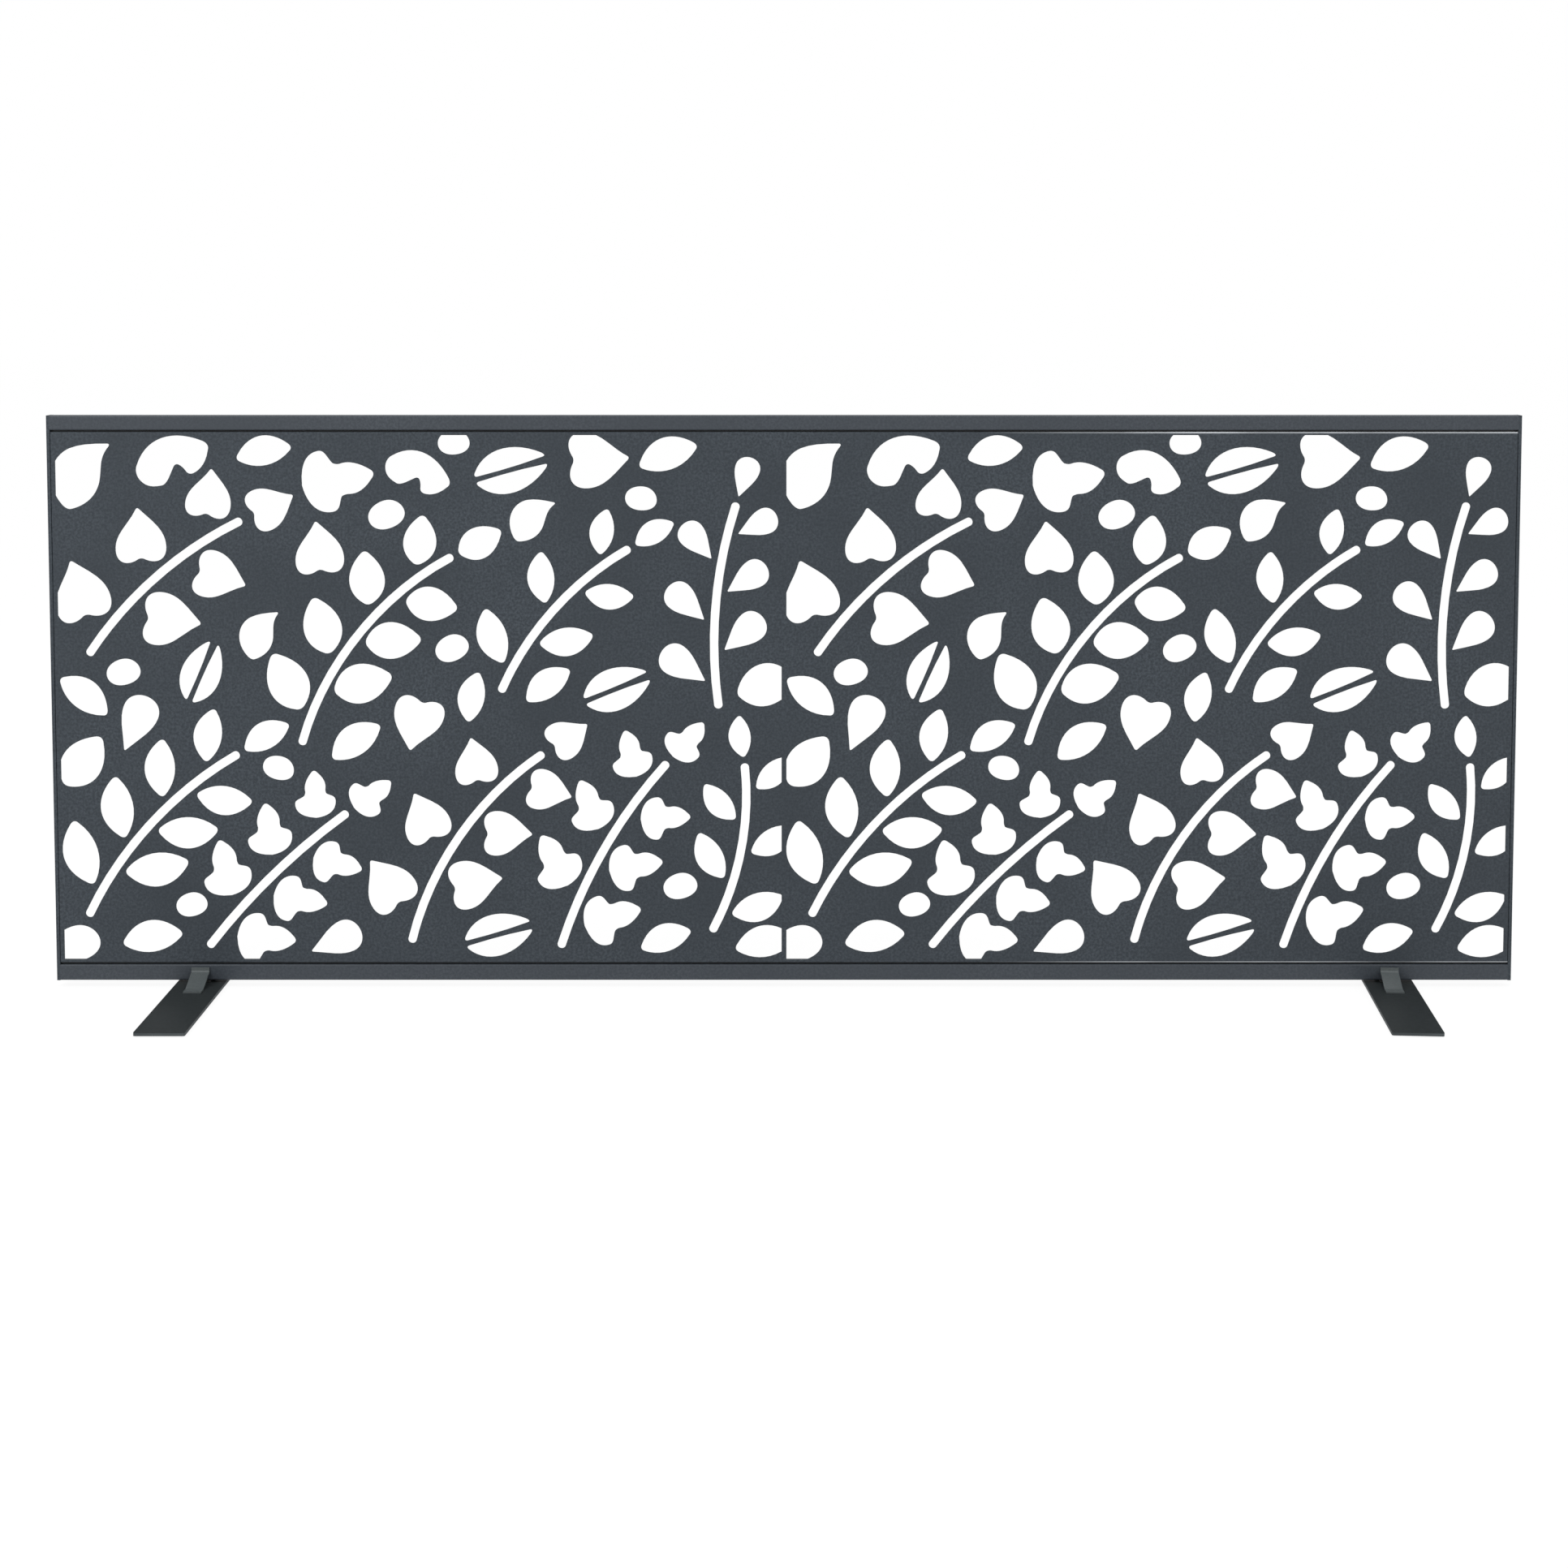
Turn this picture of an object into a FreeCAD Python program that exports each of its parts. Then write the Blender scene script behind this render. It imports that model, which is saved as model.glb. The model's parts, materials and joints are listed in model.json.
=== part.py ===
import FreeCAD, Part

import math
import os
import re

import Sketcher

# Free-standing decorative screen: one cut-out metal sheet in a slim frame, on two clip-on flat feet.
# Millimetres. X runs along the panel, -Y is the front, Z is up. The origin is on the floor, in the middle of the
# panel's width and of the feet's reach from front to rear.

Vector = FreeCAD.Vector
doc = FreeCAD.newDocument("DecorativeScreen")

# Driving dimensions: name, value, what it measures
SIZES = (
    ("panel_width", 1800.0, "overall width of the panel"),
    ("panel_height", 700.0, "overall height of the panel"),
    ("frame_depth", 20.0, "depth of the rails and side bars, front to back"),
    ("top_rail_height", 18.0, "height of the top rail"),
    ("bottom_rail_height", 20.0, "height of the bottom rail"),
    ("rail_wall", 1.5, "wall of both rails"),
    ("rail_corner", 2.0, "outer corner radius of both rails"),
    ("side_bar_thickness", 4.0, "thickness of the side bars"),
    ("shadow_gap", 2.0, "open groove between the sheet and each rail"),
    ("sheet_thickness", 1.5, "thickness of the cut-out sheet"),
    ("sheet_bend", 2.0, "outer radius where the sheet is bent back"),
    ("flange_depth", 14.0, "depth of the sheet, its face and bent-back flange together"),
    ("field_edge_margin", 4.0, "metal above and below the cut-outs"),
    ("field_side_margin", 6.0, "metal left and right of the cut-outs"),
    ("tile_bridge", 6.0, "metal between the two repeats of the pattern"),
    ("rivet_radius", 2.0, "shank of the blind rivets"),
    ("rivet_head_radius", 4.2, "head of the blind rivets"),
    ("rivet_head_height", 1.4, "height of a rivet's head"),
    ("rivet_tail_radius", 3.2, "formed end of a rivet"),
    ("rivet_tail_height", 2.5, "length of a rivet's formed end"),
    ("rivet_inset", 110.0, "from the sheet's end to the first rivet along a rail"),
    ("side_rivet_inset", 70.0, "from the sheet's top or bottom to the first side rivet"),
    ("strip_width", 8.0, "depth of the strips in the grooves, front to back"),
    ("plug_length", 24.0, "length of the threaded block in each rail end"),
    ("frame_screw_radius", 2.5, "shank of the screws through the side bars"),
    ("frame_screw_head_radius", 4.8, "countersunk head of those screws"),
    ("frame_screw_head_depth", 2.3, "depth of that head"),
    ("frame_screw_length", 18.0, "overall length of those screws"),
    ("left_foot_inset", 178.0, "from the panel's left end to the middle of the left foot"),
    ("right_foot_inset", 150.0, "from the panel's right end to the middle of the right foot"),
    ("right_foot_turn", 4.4, "turn of the right foot about the upright axis, degrees"),
    ("foot_width", 60.0, "width of a base plate"),
    ("foot_front", 225.0, "reach of a base plate in front of the panel's middle plane"),
    ("foot_rear", 90.0, "reach of a base plate behind that plane"),
    ("foot_thickness", 4.0, "thickness of a base plate"),
    ("foot_corner", 2.5, "corner radius of a base plate, seen from above"),
    ("floor_pad_thickness", 1.5, "thickness of the pads under a base plate"),
    ("floor_pad_length", 20.0, "length of a floor pad, front to back"),
    ("floor_pad_margin", 8.0, "from the plate's edges to a floor pad"),
    ("seat_pad_thickness", 3.0, "thickness of the pad that the rail stands on"),
    ("seat_pad_width", 22.0, "width of that pad along the rail"),
    ("clip_width", 22.0, "width of a clip"),
    ("clip_thickness", 2.0, "thickness of a clip"),
    ("clip_clearance", 0.3, "between a clip's tip and the rail"),
    ("clip_height", 19.5, "top of a clip above its plate"),
    ("clip_tip", 5.0, "upright length of a clip's tip"),
    ("clip_lean", 69.5, "slope of a clip from the upright, degrees"),
    ("clip_toe", 13.0, "length of a clip's flat toe"),
    ("clip_bend", 2.5, "inner radius of a clip's bends"),
    ("clip_screw_radius", 1.5, "shank of the screws that hold the clips"),
    ("clip_screw_head_radius", 3.0, "countersunk head of those screws"),
    ("clip_screw_spacing", 12.0, "between the two screws of one clip"),
    ("clip_screw_recess", 0.4, "metal left above the blind hole of a clip screw"),
    ("overrun", 1.0, "how far a cutter runs past the piece that it cuts"),
)
NEAR = 0.001  # places closer than this are the same
RIVETS_PER_RAIL = 5
RIVETS_PER_SIDE = 4
SIDES = (("left", -1), ("right", 1))
ENDS = ("top", "bottom")

sheet = doc.addObject("Spreadsheet::Sheet", "Sizes")
for row, (alias, value, meaning) in enumerate(SIZES, start=1):
    sheet.set(f"A{row}", meaning)
    sheet.set(f"B{row}", str(value))
    sheet.setAlias(f"B{row}", alias)
doc.recompute()

ALIASES = re.compile(r"\b(" + "|".join(alias for alias, _, _ in SIZES) + r")\b")
UPWARDS = FreeCAD.Rotation()
DOWNWARDS = FreeCAD.Rotation(Vector(0, 0, 1), Vector(0, 0, -1))
INWARDS = {
    "left": FreeCAD.Rotation(Vector(0, 0, 1), Vector(1, 0, 0)),
    "right": FreeCAD.Rotation(Vector(0, 0, 1), Vector(-1, 0, 0)),
}

# Levels and places that several pieces share, as formulas in the driving dimensions
PLATE_TOP = "(floor_pad_thickness + foot_thickness)"
PANEL_BOTTOM = f"({PLATE_TOP} + seat_pad_thickness)"
PANEL_TOP = f"({PANEL_BOTTOM} + panel_height)"
SHEET_BOTTOM = f"({PANEL_BOTTOM} + bottom_rail_height + shadow_gap)"
SHEET_TOP = f"({PANEL_TOP} - top_rail_height - shadow_gap)"
SHEET_BACK = "(flange_depth - frame_depth / 2)"
FLANGE_MIDDLE = "((sheet_bend + flange_depth - frame_depth) / 2)"
RAIL_LENGTH = "(panel_width - 2 * side_bar_thickness)"
SET_BACK = "((foot_front - foot_rear) / 2 * cos(right_foot_turn))"
RAIL_MIDDLES = {
    "top": f"({PANEL_TOP} - top_rail_height / 2)",
    "bottom": f"({PANEL_BOTTOM} + bottom_rail_height / 2)",
}


def in_sizes(formula):
    """The formula with each driving dimension named as the spreadsheet's own."""
    return ALIASES.sub(r"Sizes.\1", formula)


def value_of(formula):
    """Number that a formula in the driving dimensions gives."""
    value = sheet.evalExpression(in_sizes(formula))
    return float(getattr(value, "Value", value))


def bind(thing, **formulas):
    """Bind properties to formulas; a double underscore stands for a dot."""
    for name, formula in formulas.items():
        thing.setExpression(name.replace("__", "."), in_sizes(formula))


def place(thing, x="0", y="0", z="0"):
    """Put a piece at (x, y, z)."""
    bind(thing, Placement__Base__x=x, Placement__Base__y=y, Placement__Base__z=z)


def evenly(first, last, count):
    """Formulas of count places from first to last."""
    return [f"({first} + ({last} - {first}) * {n} / {count - 1})" for n in range(count)]


RIVETS_ALONG = evenly(f"(rivet_inset - {RAIL_LENGTH} / 2)", f"({RAIL_LENGTH} / 2 - rivet_inset)", RIVETS_PER_RAIL)
RIVETS_UP = evenly(f"({SHEET_BOTTOM} + side_rivet_inset)", f"({SHEET_TOP} - side_rivet_inset)", RIVETS_PER_SIDE)


# Simple solids and their combinations
def box(name, length, width, height, x="0", y="0", z="0"):
    """Box centred on (x, y) that stands on z."""
    thing = doc.addObject("Part::Box", name)
    bind(thing, Length=length, Width=width, Height=height)
    place(thing, f"{x} - {length} / 2", f"{y} - {width} / 2", z)
    return thing


def rod(name, radius, length, way, x, y, z):
    """Cylinder that starts at (x, y, z) and runs the given way."""
    thing = doc.addObject("Part::Cylinder", name)
    thing.Placement.Rotation = way
    bind(thing, Radius=radius, Height=length)
    place(thing, x, y, z)
    return thing


def taper(name, radius, end_radius, length, way, x, y, z):
    """Cone from radius to end_radius that starts at (x, y, z) and runs the given way."""
    thing = doc.addObject("Part::Cone", name)
    thing.Placement.Rotation = way
    bind(thing, Radius1=radius, Radius2=end_radius, Height=length)
    place(thing, x, y, z)
    return thing


def joined(name, pieces):
    """One solid made of touching or overlapping shapes."""
    thing = doc.addObject("Part::MultiFuse", name)
    thing.Shapes = pieces
    thing.Refine = True
    return thing


def cut(name, base, tools):
    """The base without the tools."""
    thing = doc.addObject("Part::Cut", name)
    thing.Base = base
    thing.Tool = tools[0] if len(tools) == 1 else joined(f"{name}_cutters", tools)
    return thing


def group(name, pieces):
    """Like solids that share one name."""
    thing = doc.addObject("Part::Compound", name)
    thing.Links = pieces
    return thing


# Bodies built from sketches
def new_body(name):
    """Empty body with its label."""
    body = doc.addObject("PartDesign::Body", name)
    body.Label = name
    return body


def new_sketch(body, name, role):
    """Sketch on one of the body's own origin planes."""
    plane = next(feature for feature in body.Origin.OriginFeatures if feature.Role == role)
    sketch = body.newObject("Sketcher::SketchObject", name)
    sketch.AttachmentSupport = [(plane, "")]
    sketch.MapMode = "FlatFace"
    return sketch


def hold_point(sketch, shape, point, across, up):
    """Bind a point of a sketch to its two distances from the sketch's origin."""
    for kind, formula in (("DistanceX", across), ("DistanceY", up)):
        constraint = Sketcher.Constraint(kind, -1, 1, shape, point, value_of(formula))
        bind(sketch, **{f"Constraints[{sketch.addConstraint(constraint)}]": formula})


def draw_polygon(sketch, corners):
    """Closed polygon whose corners are pairs of formulas."""
    count = len(corners)
    spots = [Vector(value_of(across), value_of(up), 0) for across, up in corners]
    for n in range(count):
        sketch.addGeometry(Part.LineSegment(spots[n], spots[(n + 1) % count]), False)
    for n in range(count):
        sketch.addConstraint(Sketcher.Constraint("Coincident", n, 2, (n + 1) % count, 1))
    for n, (across, up) in enumerate(corners):
        hold_point(sketch, n, 1, across, up)


def draw_rectangle(sketch, width, height):
    """Rectangle centred on the sketch's origin."""
    left, right, low, high = f"-{width} / 2", f"{width} / 2", f"-{height} / 2", f"{height} / 2"
    draw_polygon(sketch, ((left, low), (right, low), (right, high), (left, high)))


def draw_circles(sketch, radius, centres):
    """Equal circles whose centres are pairs of formulas."""
    for n, (across, up) in enumerate(centres):
        spot = Vector(value_of(across), value_of(up), 0)
        sketch.addGeometry(Part.Circle(spot, Vector(0, 0, 1), value_of(radius)), False)
        index = sketch.addConstraint(Sketcher.Constraint("Radius", n, value_of(radius)))
        bind(sketch, **{f"Constraints[{index}]": radius})
        hold_point(sketch, n, 3, across, up)


def pad(body, sketch, length, symmetric=True):
    """Solid of a sketch."""
    feature = body.newObject("PartDesign::Pad", f"{body.Name}_pad")
    feature.Profile = sketch
    feature.SideType = "Symmetric" if symmetric else "One side"
    bind(feature, Length=length)
    doc.recompute()


def pocket_through(body, sketch):
    """Remove a sketch's outline from the whole body, both ways."""
    feature = body.newObject("PartDesign::Pocket", f"{sketch.Name}_pocket")
    feature.Profile = sketch
    feature.SideType = "Symmetric"
    feature.Type = "ThroughAll"
    doc.recompute()


def dress_edges(body, kind, name, wanted, **measure):
    """Fillet or chamfer on the edges of the body for which wanted(edge) is true."""
    base = body.Tip
    edges = [f"Edge{n}" for n, edge in enumerate(base.Shape.Edges, start=1) if wanted(edge)]
    feature = body.newObject(f"PartDesign::{kind}", name)
    feature.Base = (base, edges)
    bind(feature, **measure)
    doc.recompute()


def is_straight_along(edge, axis):
    """True for a straight edge parallel to the axis."""
    return isinstance(edge.Curve, Part.Line) and edge.Curve.Direction.cross(axis).Length < NEAR


def check_holes(body, volume_before, radius, wall, count):
    """Stop if the holes didn't remove the metal that they should."""
    removed = volume_before - body.Shape.Volume
    expected = count * math.pi * value_of(radius) ** 2 * value_of(wall)
    if abs(removed - expected) > expected / 100:
        raise ValueError(f"{body.Name}: holes removed {removed:.1f} and not {expected:.1f} cubic mm")


# Rails: square-cornered inside, rounded outside, drilled for the rivets in the wall that faces the sheet
def build_rail(end):
    """Top or bottom rail."""
    height = f"{end}_rail_height"
    body = new_body(f"{end}_rail")
    profile = new_sketch(body, f"{end}_rail_profile", "YZ_Plane")
    draw_rectangle(profile, "frame_depth", height)
    pad(body, profile, RAIL_LENGTH)
    dress_edges(body, "Fillet", f"{end}_rail_corners", lambda edge: is_straight_along(edge, Vector(1, 0, 0)),
                Radius="rail_corner")
    hollow = new_sketch(body, f"{end}_rail_hollow", "YZ_Plane")
    draw_rectangle(hollow, "(frame_depth - 2 * rail_wall)", f"({height} - 2 * rail_wall)")
    pocket_through(body, hollow)
    volume = body.Shape.Volume
    holes = new_sketch(body, f"{end}_rail_holes", "XY_Plane")
    draw_circles(holes, "rivet_radius", [(x, FLANGE_MIDDLE) for x in RIVETS_ALONG])
    drill = body.newObject("PartDesign::Pocket", f"{end}_rail_drilled")
    drill.Profile = holes
    drill.Reversed = end == "bottom"
    bind(drill, Length=f"{height} / 2 + overrun")
    doc.recompute()
    check_holes(body, volume, "rivet_radius", "rail_wall", RIVETS_PER_RAIL)
    place(body, z=RAIL_MIDDLES[end])
    return body


def build_rail_plugs(end):
    """Threaded block in each end of a rail."""
    height = f"({end}_rail_height - 2 * rail_wall)"
    plugs = []
    for side, sign in SIDES:
        block = box(f"{end}_{side}_block", "plug_length", "(frame_depth - 2 * rail_wall)", height,
                    f"{sign} * ({RAIL_LENGTH} - plug_length) / 2", z=f"{RAIL_MIDDLES[end]} - {height} / 2")
        bore = rod(f"{end}_{side}_bore", "frame_screw_radius", "plug_length + 2 * overrun", INWARDS[side],
                   f"{sign} * ({RAIL_LENGTH} / 2 + overrun)", "0", RAIL_MIDDLES[end])
        plugs.append(cut(f"{end}_{side}_plug", block, [bore]))
    return group(f"{end}_rail_plugs", plugs)


# Side bars and what goes through them
def frame_screw_head(name, side, sign, level):
    """Countersunk head, flush with the side bar."""
    return taper(name, "frame_screw_head_radius", "frame_screw_radius", "frame_screw_head_depth", INWARDS[side],
                 f"{sign} * panel_width / 2", "0", level)


def side_rivet_head(name, side, sign, level):
    """Countersunk head, flush with the side bar."""
    return taper(name, "rivet_head_radius", "rivet_radius", "rivet_head_radius - rivet_radius", INWARDS[side],
                 f"{sign} * panel_width / 2", FLANGE_MIDDLE, level)


def build_side_bar(side, sign):
    """Flat bar that closes one end of the frame."""
    bar = box(f"{side}_bar", "side_bar_thickness", "frame_depth", "panel_height",
              f"{sign} * (panel_width - side_bar_thickness) / 2", z=PANEL_BOTTOM)
    outside = f"{sign} * (panel_width / 2 + overrun)"
    through = "side_bar_thickness + 2 * overrun"
    cutters = []
    for end in ENDS:
        level = RAIL_MIDDLES[end]
        cutters.append(rod(f"{side}_{end}_hole", "frame_screw_radius", through, INWARDS[side], outside, "0", level))
        cutters.append(frame_screw_head(f"{side}_{end}_sink", side, sign, level))
    for n, level in enumerate(RIVETS_UP, start=1):
        cutters.append(rod(f"{side}_hole_{n}", "rivet_radius", through, INWARDS[side], outside, FLANGE_MIDDLE, level))
        cutters.append(side_rivet_head(f"{side}_sink_{n}", side, sign, level))
    return cut(f"{side}_side_bar", bar, cutters)


def build_frame_screws(side, sign):
    """Two countersunk screws from a side bar into the rail plugs."""
    screws = []
    for end in ENDS:
        level = RAIL_MIDDLES[end]
        shank = rod(f"{side}_{end}_shank", "frame_screw_radius", "frame_screw_length", INWARDS[side],
                    f"{sign} * panel_width / 2", "0", level)
        head = frame_screw_head(f"{side}_{end}_head", side, sign, level)
        screws.append(joined(f"{side}_{end}_screw", [shank, head]))
    return group(f"{side}_frame_screws", screws)


def build_side_rivets(side, sign):
    """Rivets through a side bar and the sheet's side flange: flush outside, formed disc inside."""
    grip = "(side_bar_thickness + sheet_thickness)"
    rivets = []
    for n, level in enumerate(RIVETS_UP, start=1):
        name = f"{side}_rivet_{n}"
        shank = rod(f"{name}_shank", "rivet_radius", grip, INWARDS[side], f"{sign} * panel_width / 2",
                    FLANGE_MIDDLE, level)
        disc = rod(f"{name}_disc", "rivet_tail_radius", "rivet_head_height", INWARDS[side],
                   f"{sign} * (panel_width / 2 - {grip})", FLANGE_MIDDLE, level)
        rivets.append(joined(name, [shank, side_rivet_head(f"{name}_head", side, sign, level), disc]))
    return group(f"{side}_rivets", rivets)


# Strips that hold the grooves open and close them to light, and the rivets through them
def build_strip(end):
    """Strip between the sheet's flange and one rail, set back from the front."""
    level = SHEET_TOP if end == "top" else f"({SHEET_BOTTOM} - shadow_gap)"
    strip = box(f"{end}_strip_whole", RAIL_LENGTH, "strip_width", "shadow_gap", y=FLANGE_MIDDLE, z=level)
    holes = [rod(f"{end}_strip_hole_{n}", "rivet_radius", "shadow_gap + 2 * overrun", UPWARDS, x, FLANGE_MIDDLE,
                 f"{level} - overrun") for n, x in enumerate(RIVETS_ALONG, start=1)]
    return cut(f"{end}_strip", strip, holes)


def build_rail_rivets(end):
    """Blind rivets through flange, strip and rail wall: low head inside the sheet, formed end in the rail."""
    outwards, inwards, sign = (UPWARDS, DOWNWARDS, 1) if end == "top" else (DOWNWARDS, UPWARDS, -1)
    flange = SHEET_TOP if end == "top" else SHEET_BOTTOM
    seat = f"({flange} - {sign} * sheet_thickness)"
    grip = "(sheet_thickness + shadow_gap + rail_wall)"
    rivets = []
    for n, x in enumerate(RIVETS_ALONG, start=1):
        name = f"{end}_rivet_{n}"
        shank = rod(f"{name}_shank", "rivet_radius", grip, outwards, x, FLANGE_MIDDLE, seat)
        head = taper(f"{name}_head", "rivet_head_radius", "rivet_head_radius - rivet_head_height",
                     "rivet_head_height", inwards, x, FLANGE_MIDDLE, seat)
        tail = rod(f"{name}_tail", "rivet_tail_radius", "rivet_tail_height", outwards, x, FLANGE_MIDDLE,
                   f"{seat} + {sign} * {grip}")
        rivets.append(joined(name, [shank, head, tail]))
    return group(f"{end}_rivets", rivets)


# Foliage outlines. Each is a closed chain of cubic curves, four points a curve. A leaf lies along its own X from
# stalk, 0, to tip, 1. Places and lengths in the two tables below are shares of the tile's height, and a tile is
# drawn TILE_SPAN_SHARE times as wide as it is high.
TILE_SPAN_SHARE = 1.37
STEM_WIDTH_SHARE = 0.016
BRIDGE_SHARE = 0.0105
ROUNDING_SHARE = 0.06
MOST_ROUNDING_SHARE = 0.3
CAP_SHARE = 0.66
FULLNESS_SHARE = 0.75
FIRST_LEAF_SHARE = 0.12
LAST_LEAF_SHARE = 0.87
LEAST_LEAF_SHARE = 0.75
TIP_STALK_SHARE = 0.3
CORNER_DEGREES = 12.0
SLOT_CURVE_DEGREES = 50.0

# Stems with leaves: shape, x, y, heading, bend, stem length, leaf length, leaf count, opening angle, first side
SPRAY_SHARES = (
    ("lens", 0.05, 0.09, 64, -34, 0.42, 0.135, 7, 46, 1),
    ("heart", 0.06, 0.59, 56, -30, 0.38, 0.125, 5, 54, 1),
    ("lobed", 0.28, 0.03, 52, -16, 0.36, 0.118, 6, 54, -1),
    ("broad", 0.46, 0.42, 74, -46, 0.46, 0.125, 7, 48, 1),
    ("heart", 0.665, 0.04, 76, -42, 0.44, 0.114, 6, 54, 1),
    ("lens", 0.84, 0.52, 66, -36, 0.36, 0.115, 5, 46, 1),
    ("lobed", 0.95, 0.03, 72, -24, 0.40, 0.118, 6, 52, -1),
    ("drop", 1.25, 0.49, 98, -26, 0.38, 0.105, 6, 50, 1),
    ("lens", 1.24, 0.06, 62, 34, 0.32, 0.110, 5, 46, -1),
)
# Leaves by themselves: shape, x, y, heading, length
FREE_LEAF_SHARES = (
    ("wing", 0.02, 0.86, 62, 0.150),
    ("notched", 0.15, 0.93, 20, 0.150),
    ("lens", 0.34, 0.955, 12, 0.110),
    ("pebble", 0.09, 0.545, 10, 0.065),
    ("lens", 0.00, 0.54, -38, 0.115),
    ("drop", 0.12, 0.40, 66, 0.115),
    ("split", 0.245, 0.495, 66, 0.125),
    ("wing", 0.365, 0.575, 66, 0.105),
    ("lobed", 0.465, 0.905, 10, 0.140),
    ("heart", 0.50, 0.735, 96, 0.105),
    ("notched", 0.625, 0.955, -22, 0.130),
    ("split", 0.79, 0.915, 16, 0.145),
    ("wing", 0.868, 0.80, 50, 0.105),
    ("heart", 0.965, 0.95, 4, 0.120),
    ("lens", 1.10, 0.94, 20, 0.120),
    ("lens", 0.11, 0.03, 10, 0.120),
    ("drop", 0.47, 0.015, 24, 0.105),
    ("split", 0.765, 0.03, 16, 0.135),
    ("lens", 1.10, 0.02, 20, 0.105),
    ("heart", 0.69, 0.505, -104, 0.108),
    ("pebble", 0.715, 0.585, 20, 0.065),
    ("lens", 0.775, 0.455, 78, 0.100),
    ("lens", 0.885, 0.495, 36, 0.105),
    ("split", 0.995, 0.495, 22, 0.135),
    ("wing", 1.285, 0.51, 6, 0.130),
    ("pebble", -0.02, 0.02, 12, 0.090),
    ("broad", 0.005, 0.335, 52, 0.120),
    ("lens", 1.28, 0.02, 10, 0.120),
    ("pebble", 0.722, 0.985, 0, 0.060),
    ("pebble", 0.59, 0.84, 15, 0.070),
    ("pebble", 1.075, 0.885, -10, 0.060),
    ("pebble", 1.145, 0.135, 10, 0.065),
    ("pebble", 0.385, 0.378, -20, 0.060),
    ("pebble", 0.215, 0.10, 10, 0.060),
    ("lens", 0.515, 0.385, 35, 0.115),
)

DROP_SHARES = (
    ((0, 0), (0.24, 0.10), (0.46, 0.30), (0.72, 0.30)),
    ((0.72, 0.30), (1.08, 0.30), (1.10, -0.30), (0.72, -0.30)),
    ((0.72, -0.30), (0.46, -0.30), (0.24, -0.10), (0, 0)),
)
HEART_SHARES = (
    ((0.13, 0.02), (0, 0.18), (0, 0.44), (0.27, 0.44)),
    ((0.27, 0.44), (0.58, 0.44), (0.72, 0.14), (1, 0)),
    ((1, 0), (0.76, -0.20), (0.60, -0.44), (0.30, -0.44)),
    ((0.30, -0.44), (0.02, -0.44), (-0.04, -0.20), (0.13, 0.02)),
)
NOTCHED_SHARES = (
    ((0, 0), (0.24, 0.39), (0.66, 0.37), (1, 0.02)),
    ((1, 0.02), (0.92, -0.16), (0.80, -0.28), (0.62, -0.26)),
    ((0.62, -0.26), (0.60, -0.14), (0.57, -0.12), (0.52, -0.06)),
    ((0.52, -0.06), (0.44, -0.14), (0.34, -0.28), (0.26, -0.27)),
    ((0.26, -0.27), (0.12, -0.25), (0.02, -0.20), (0, 0)),
)
LOBED_SHARES = (
    ((0, 0), (0.02, 0.23), (0.10, 0.42), (0.30, 0.42)),
    ((0.30, 0.42), (0.42, 0.42), (0.40, 0.22), (0.52, 0.19)),
    ((0.52, 0.19), (0.68, 0.25), (0.88, 0.13), (1, 0)),
    ((1, 0), (0.86, -0.18), (0.72, -0.26), (0.56, -0.21)),
    ((0.56, -0.21), (0.44, -0.21), (0.50, -0.42), (0.34, -0.42)),
    ((0.34, -0.42), (0.14, -0.42), (0.02, -0.25), (0, 0)),
)
PEBBLE_SHARES = (
    ((0, 0), (0, 0.25), (0.28, 0.40), (0.55, 0.40)),
    ((0.55, 0.40), (0.82, 0.40), (1, 0.19), (1, 0)),
    ((1, 0), (1, -0.24), (0.72, -0.36), (0.45, -0.36)),
    ((0.45, -0.36), (0.18, -0.36), (0, -0.21), (0, 0)),
)
WING_SHARES = (
    ((0, 0), (0.10, 0.37), (0.46, 0.51), (0.70, 0.32)),
    ((0.70, 0.32), (0.84, 0.20), (0.92, 0.03), (1, -0.12)),
    ((1, -0.12), (0.74, -0.03), (0.62, -0.21), (0.42, -0.22)),
    ((0.42, -0.22), (0.22, -0.24), (0.06, -0.10), (0, 0)),
)
HALF_LEAF_SHARES = (
    ((0, 0), (0.18, 0.32), (0.62, 0.36), (1, 0.02)),
    ((1, 0.02), (0.66, -0.01), (0.33, -0.01), (0, 0)),
)


def leaf(upper, lower, bow, shoulder=0.28, narrowing=0.70):
    """Pointed leaf with its two half widths; bow bends its middle line, and all are shares of its length."""
    high, low = (bow + upper) / FULLNESS_SHARE, (bow - lower) / FULLNESS_SHARE
    return (((0, 0), (shoulder, high), (narrowing, high), (1, 0)),
            ((1, 0), (narrowing, low), (shoulder, low), (0, 0)))


# Outline of each shape, and how much metal its stalk leaves beside a stem, in shares of the leaf's length
SHAPE_SHARES = {
    "lens": (leaf(0.27, 0.24, 0.03), 0.0),
    "broad": (leaf(0.34, 0.30, -0.03, 0.20, 0.66), 0.02),
    "heart": (HEART_SHARES, 0.14),
    "lobed": (LOBED_SHARES, 0.10),
    "drop": (DROP_SHARES, 0.0),
    "notched": (NOTCHED_SHARES, 0.0),
    "wing": (WING_SHARES, 0.0),
    "pebble": (PEBBLE_SHARES, 0.0),
}


def mirrored(chain):
    """The outline turned over its middle line."""
    return [tuple((x, -y) for x, y in curve) for curve in chain]


def between(a, b, share):
    """Point a share of the way from a to b."""
    return (a[0] + (b[0] - a[0]) * share, a[1] + (b[1] - a[1]) * share)


def step(point, heading, distance):
    """Point a distance away in the direction of heading."""
    angle = math.radians(heading)
    return (point[0] + distance * math.cos(angle), point[1] + distance * math.sin(angle))


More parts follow.
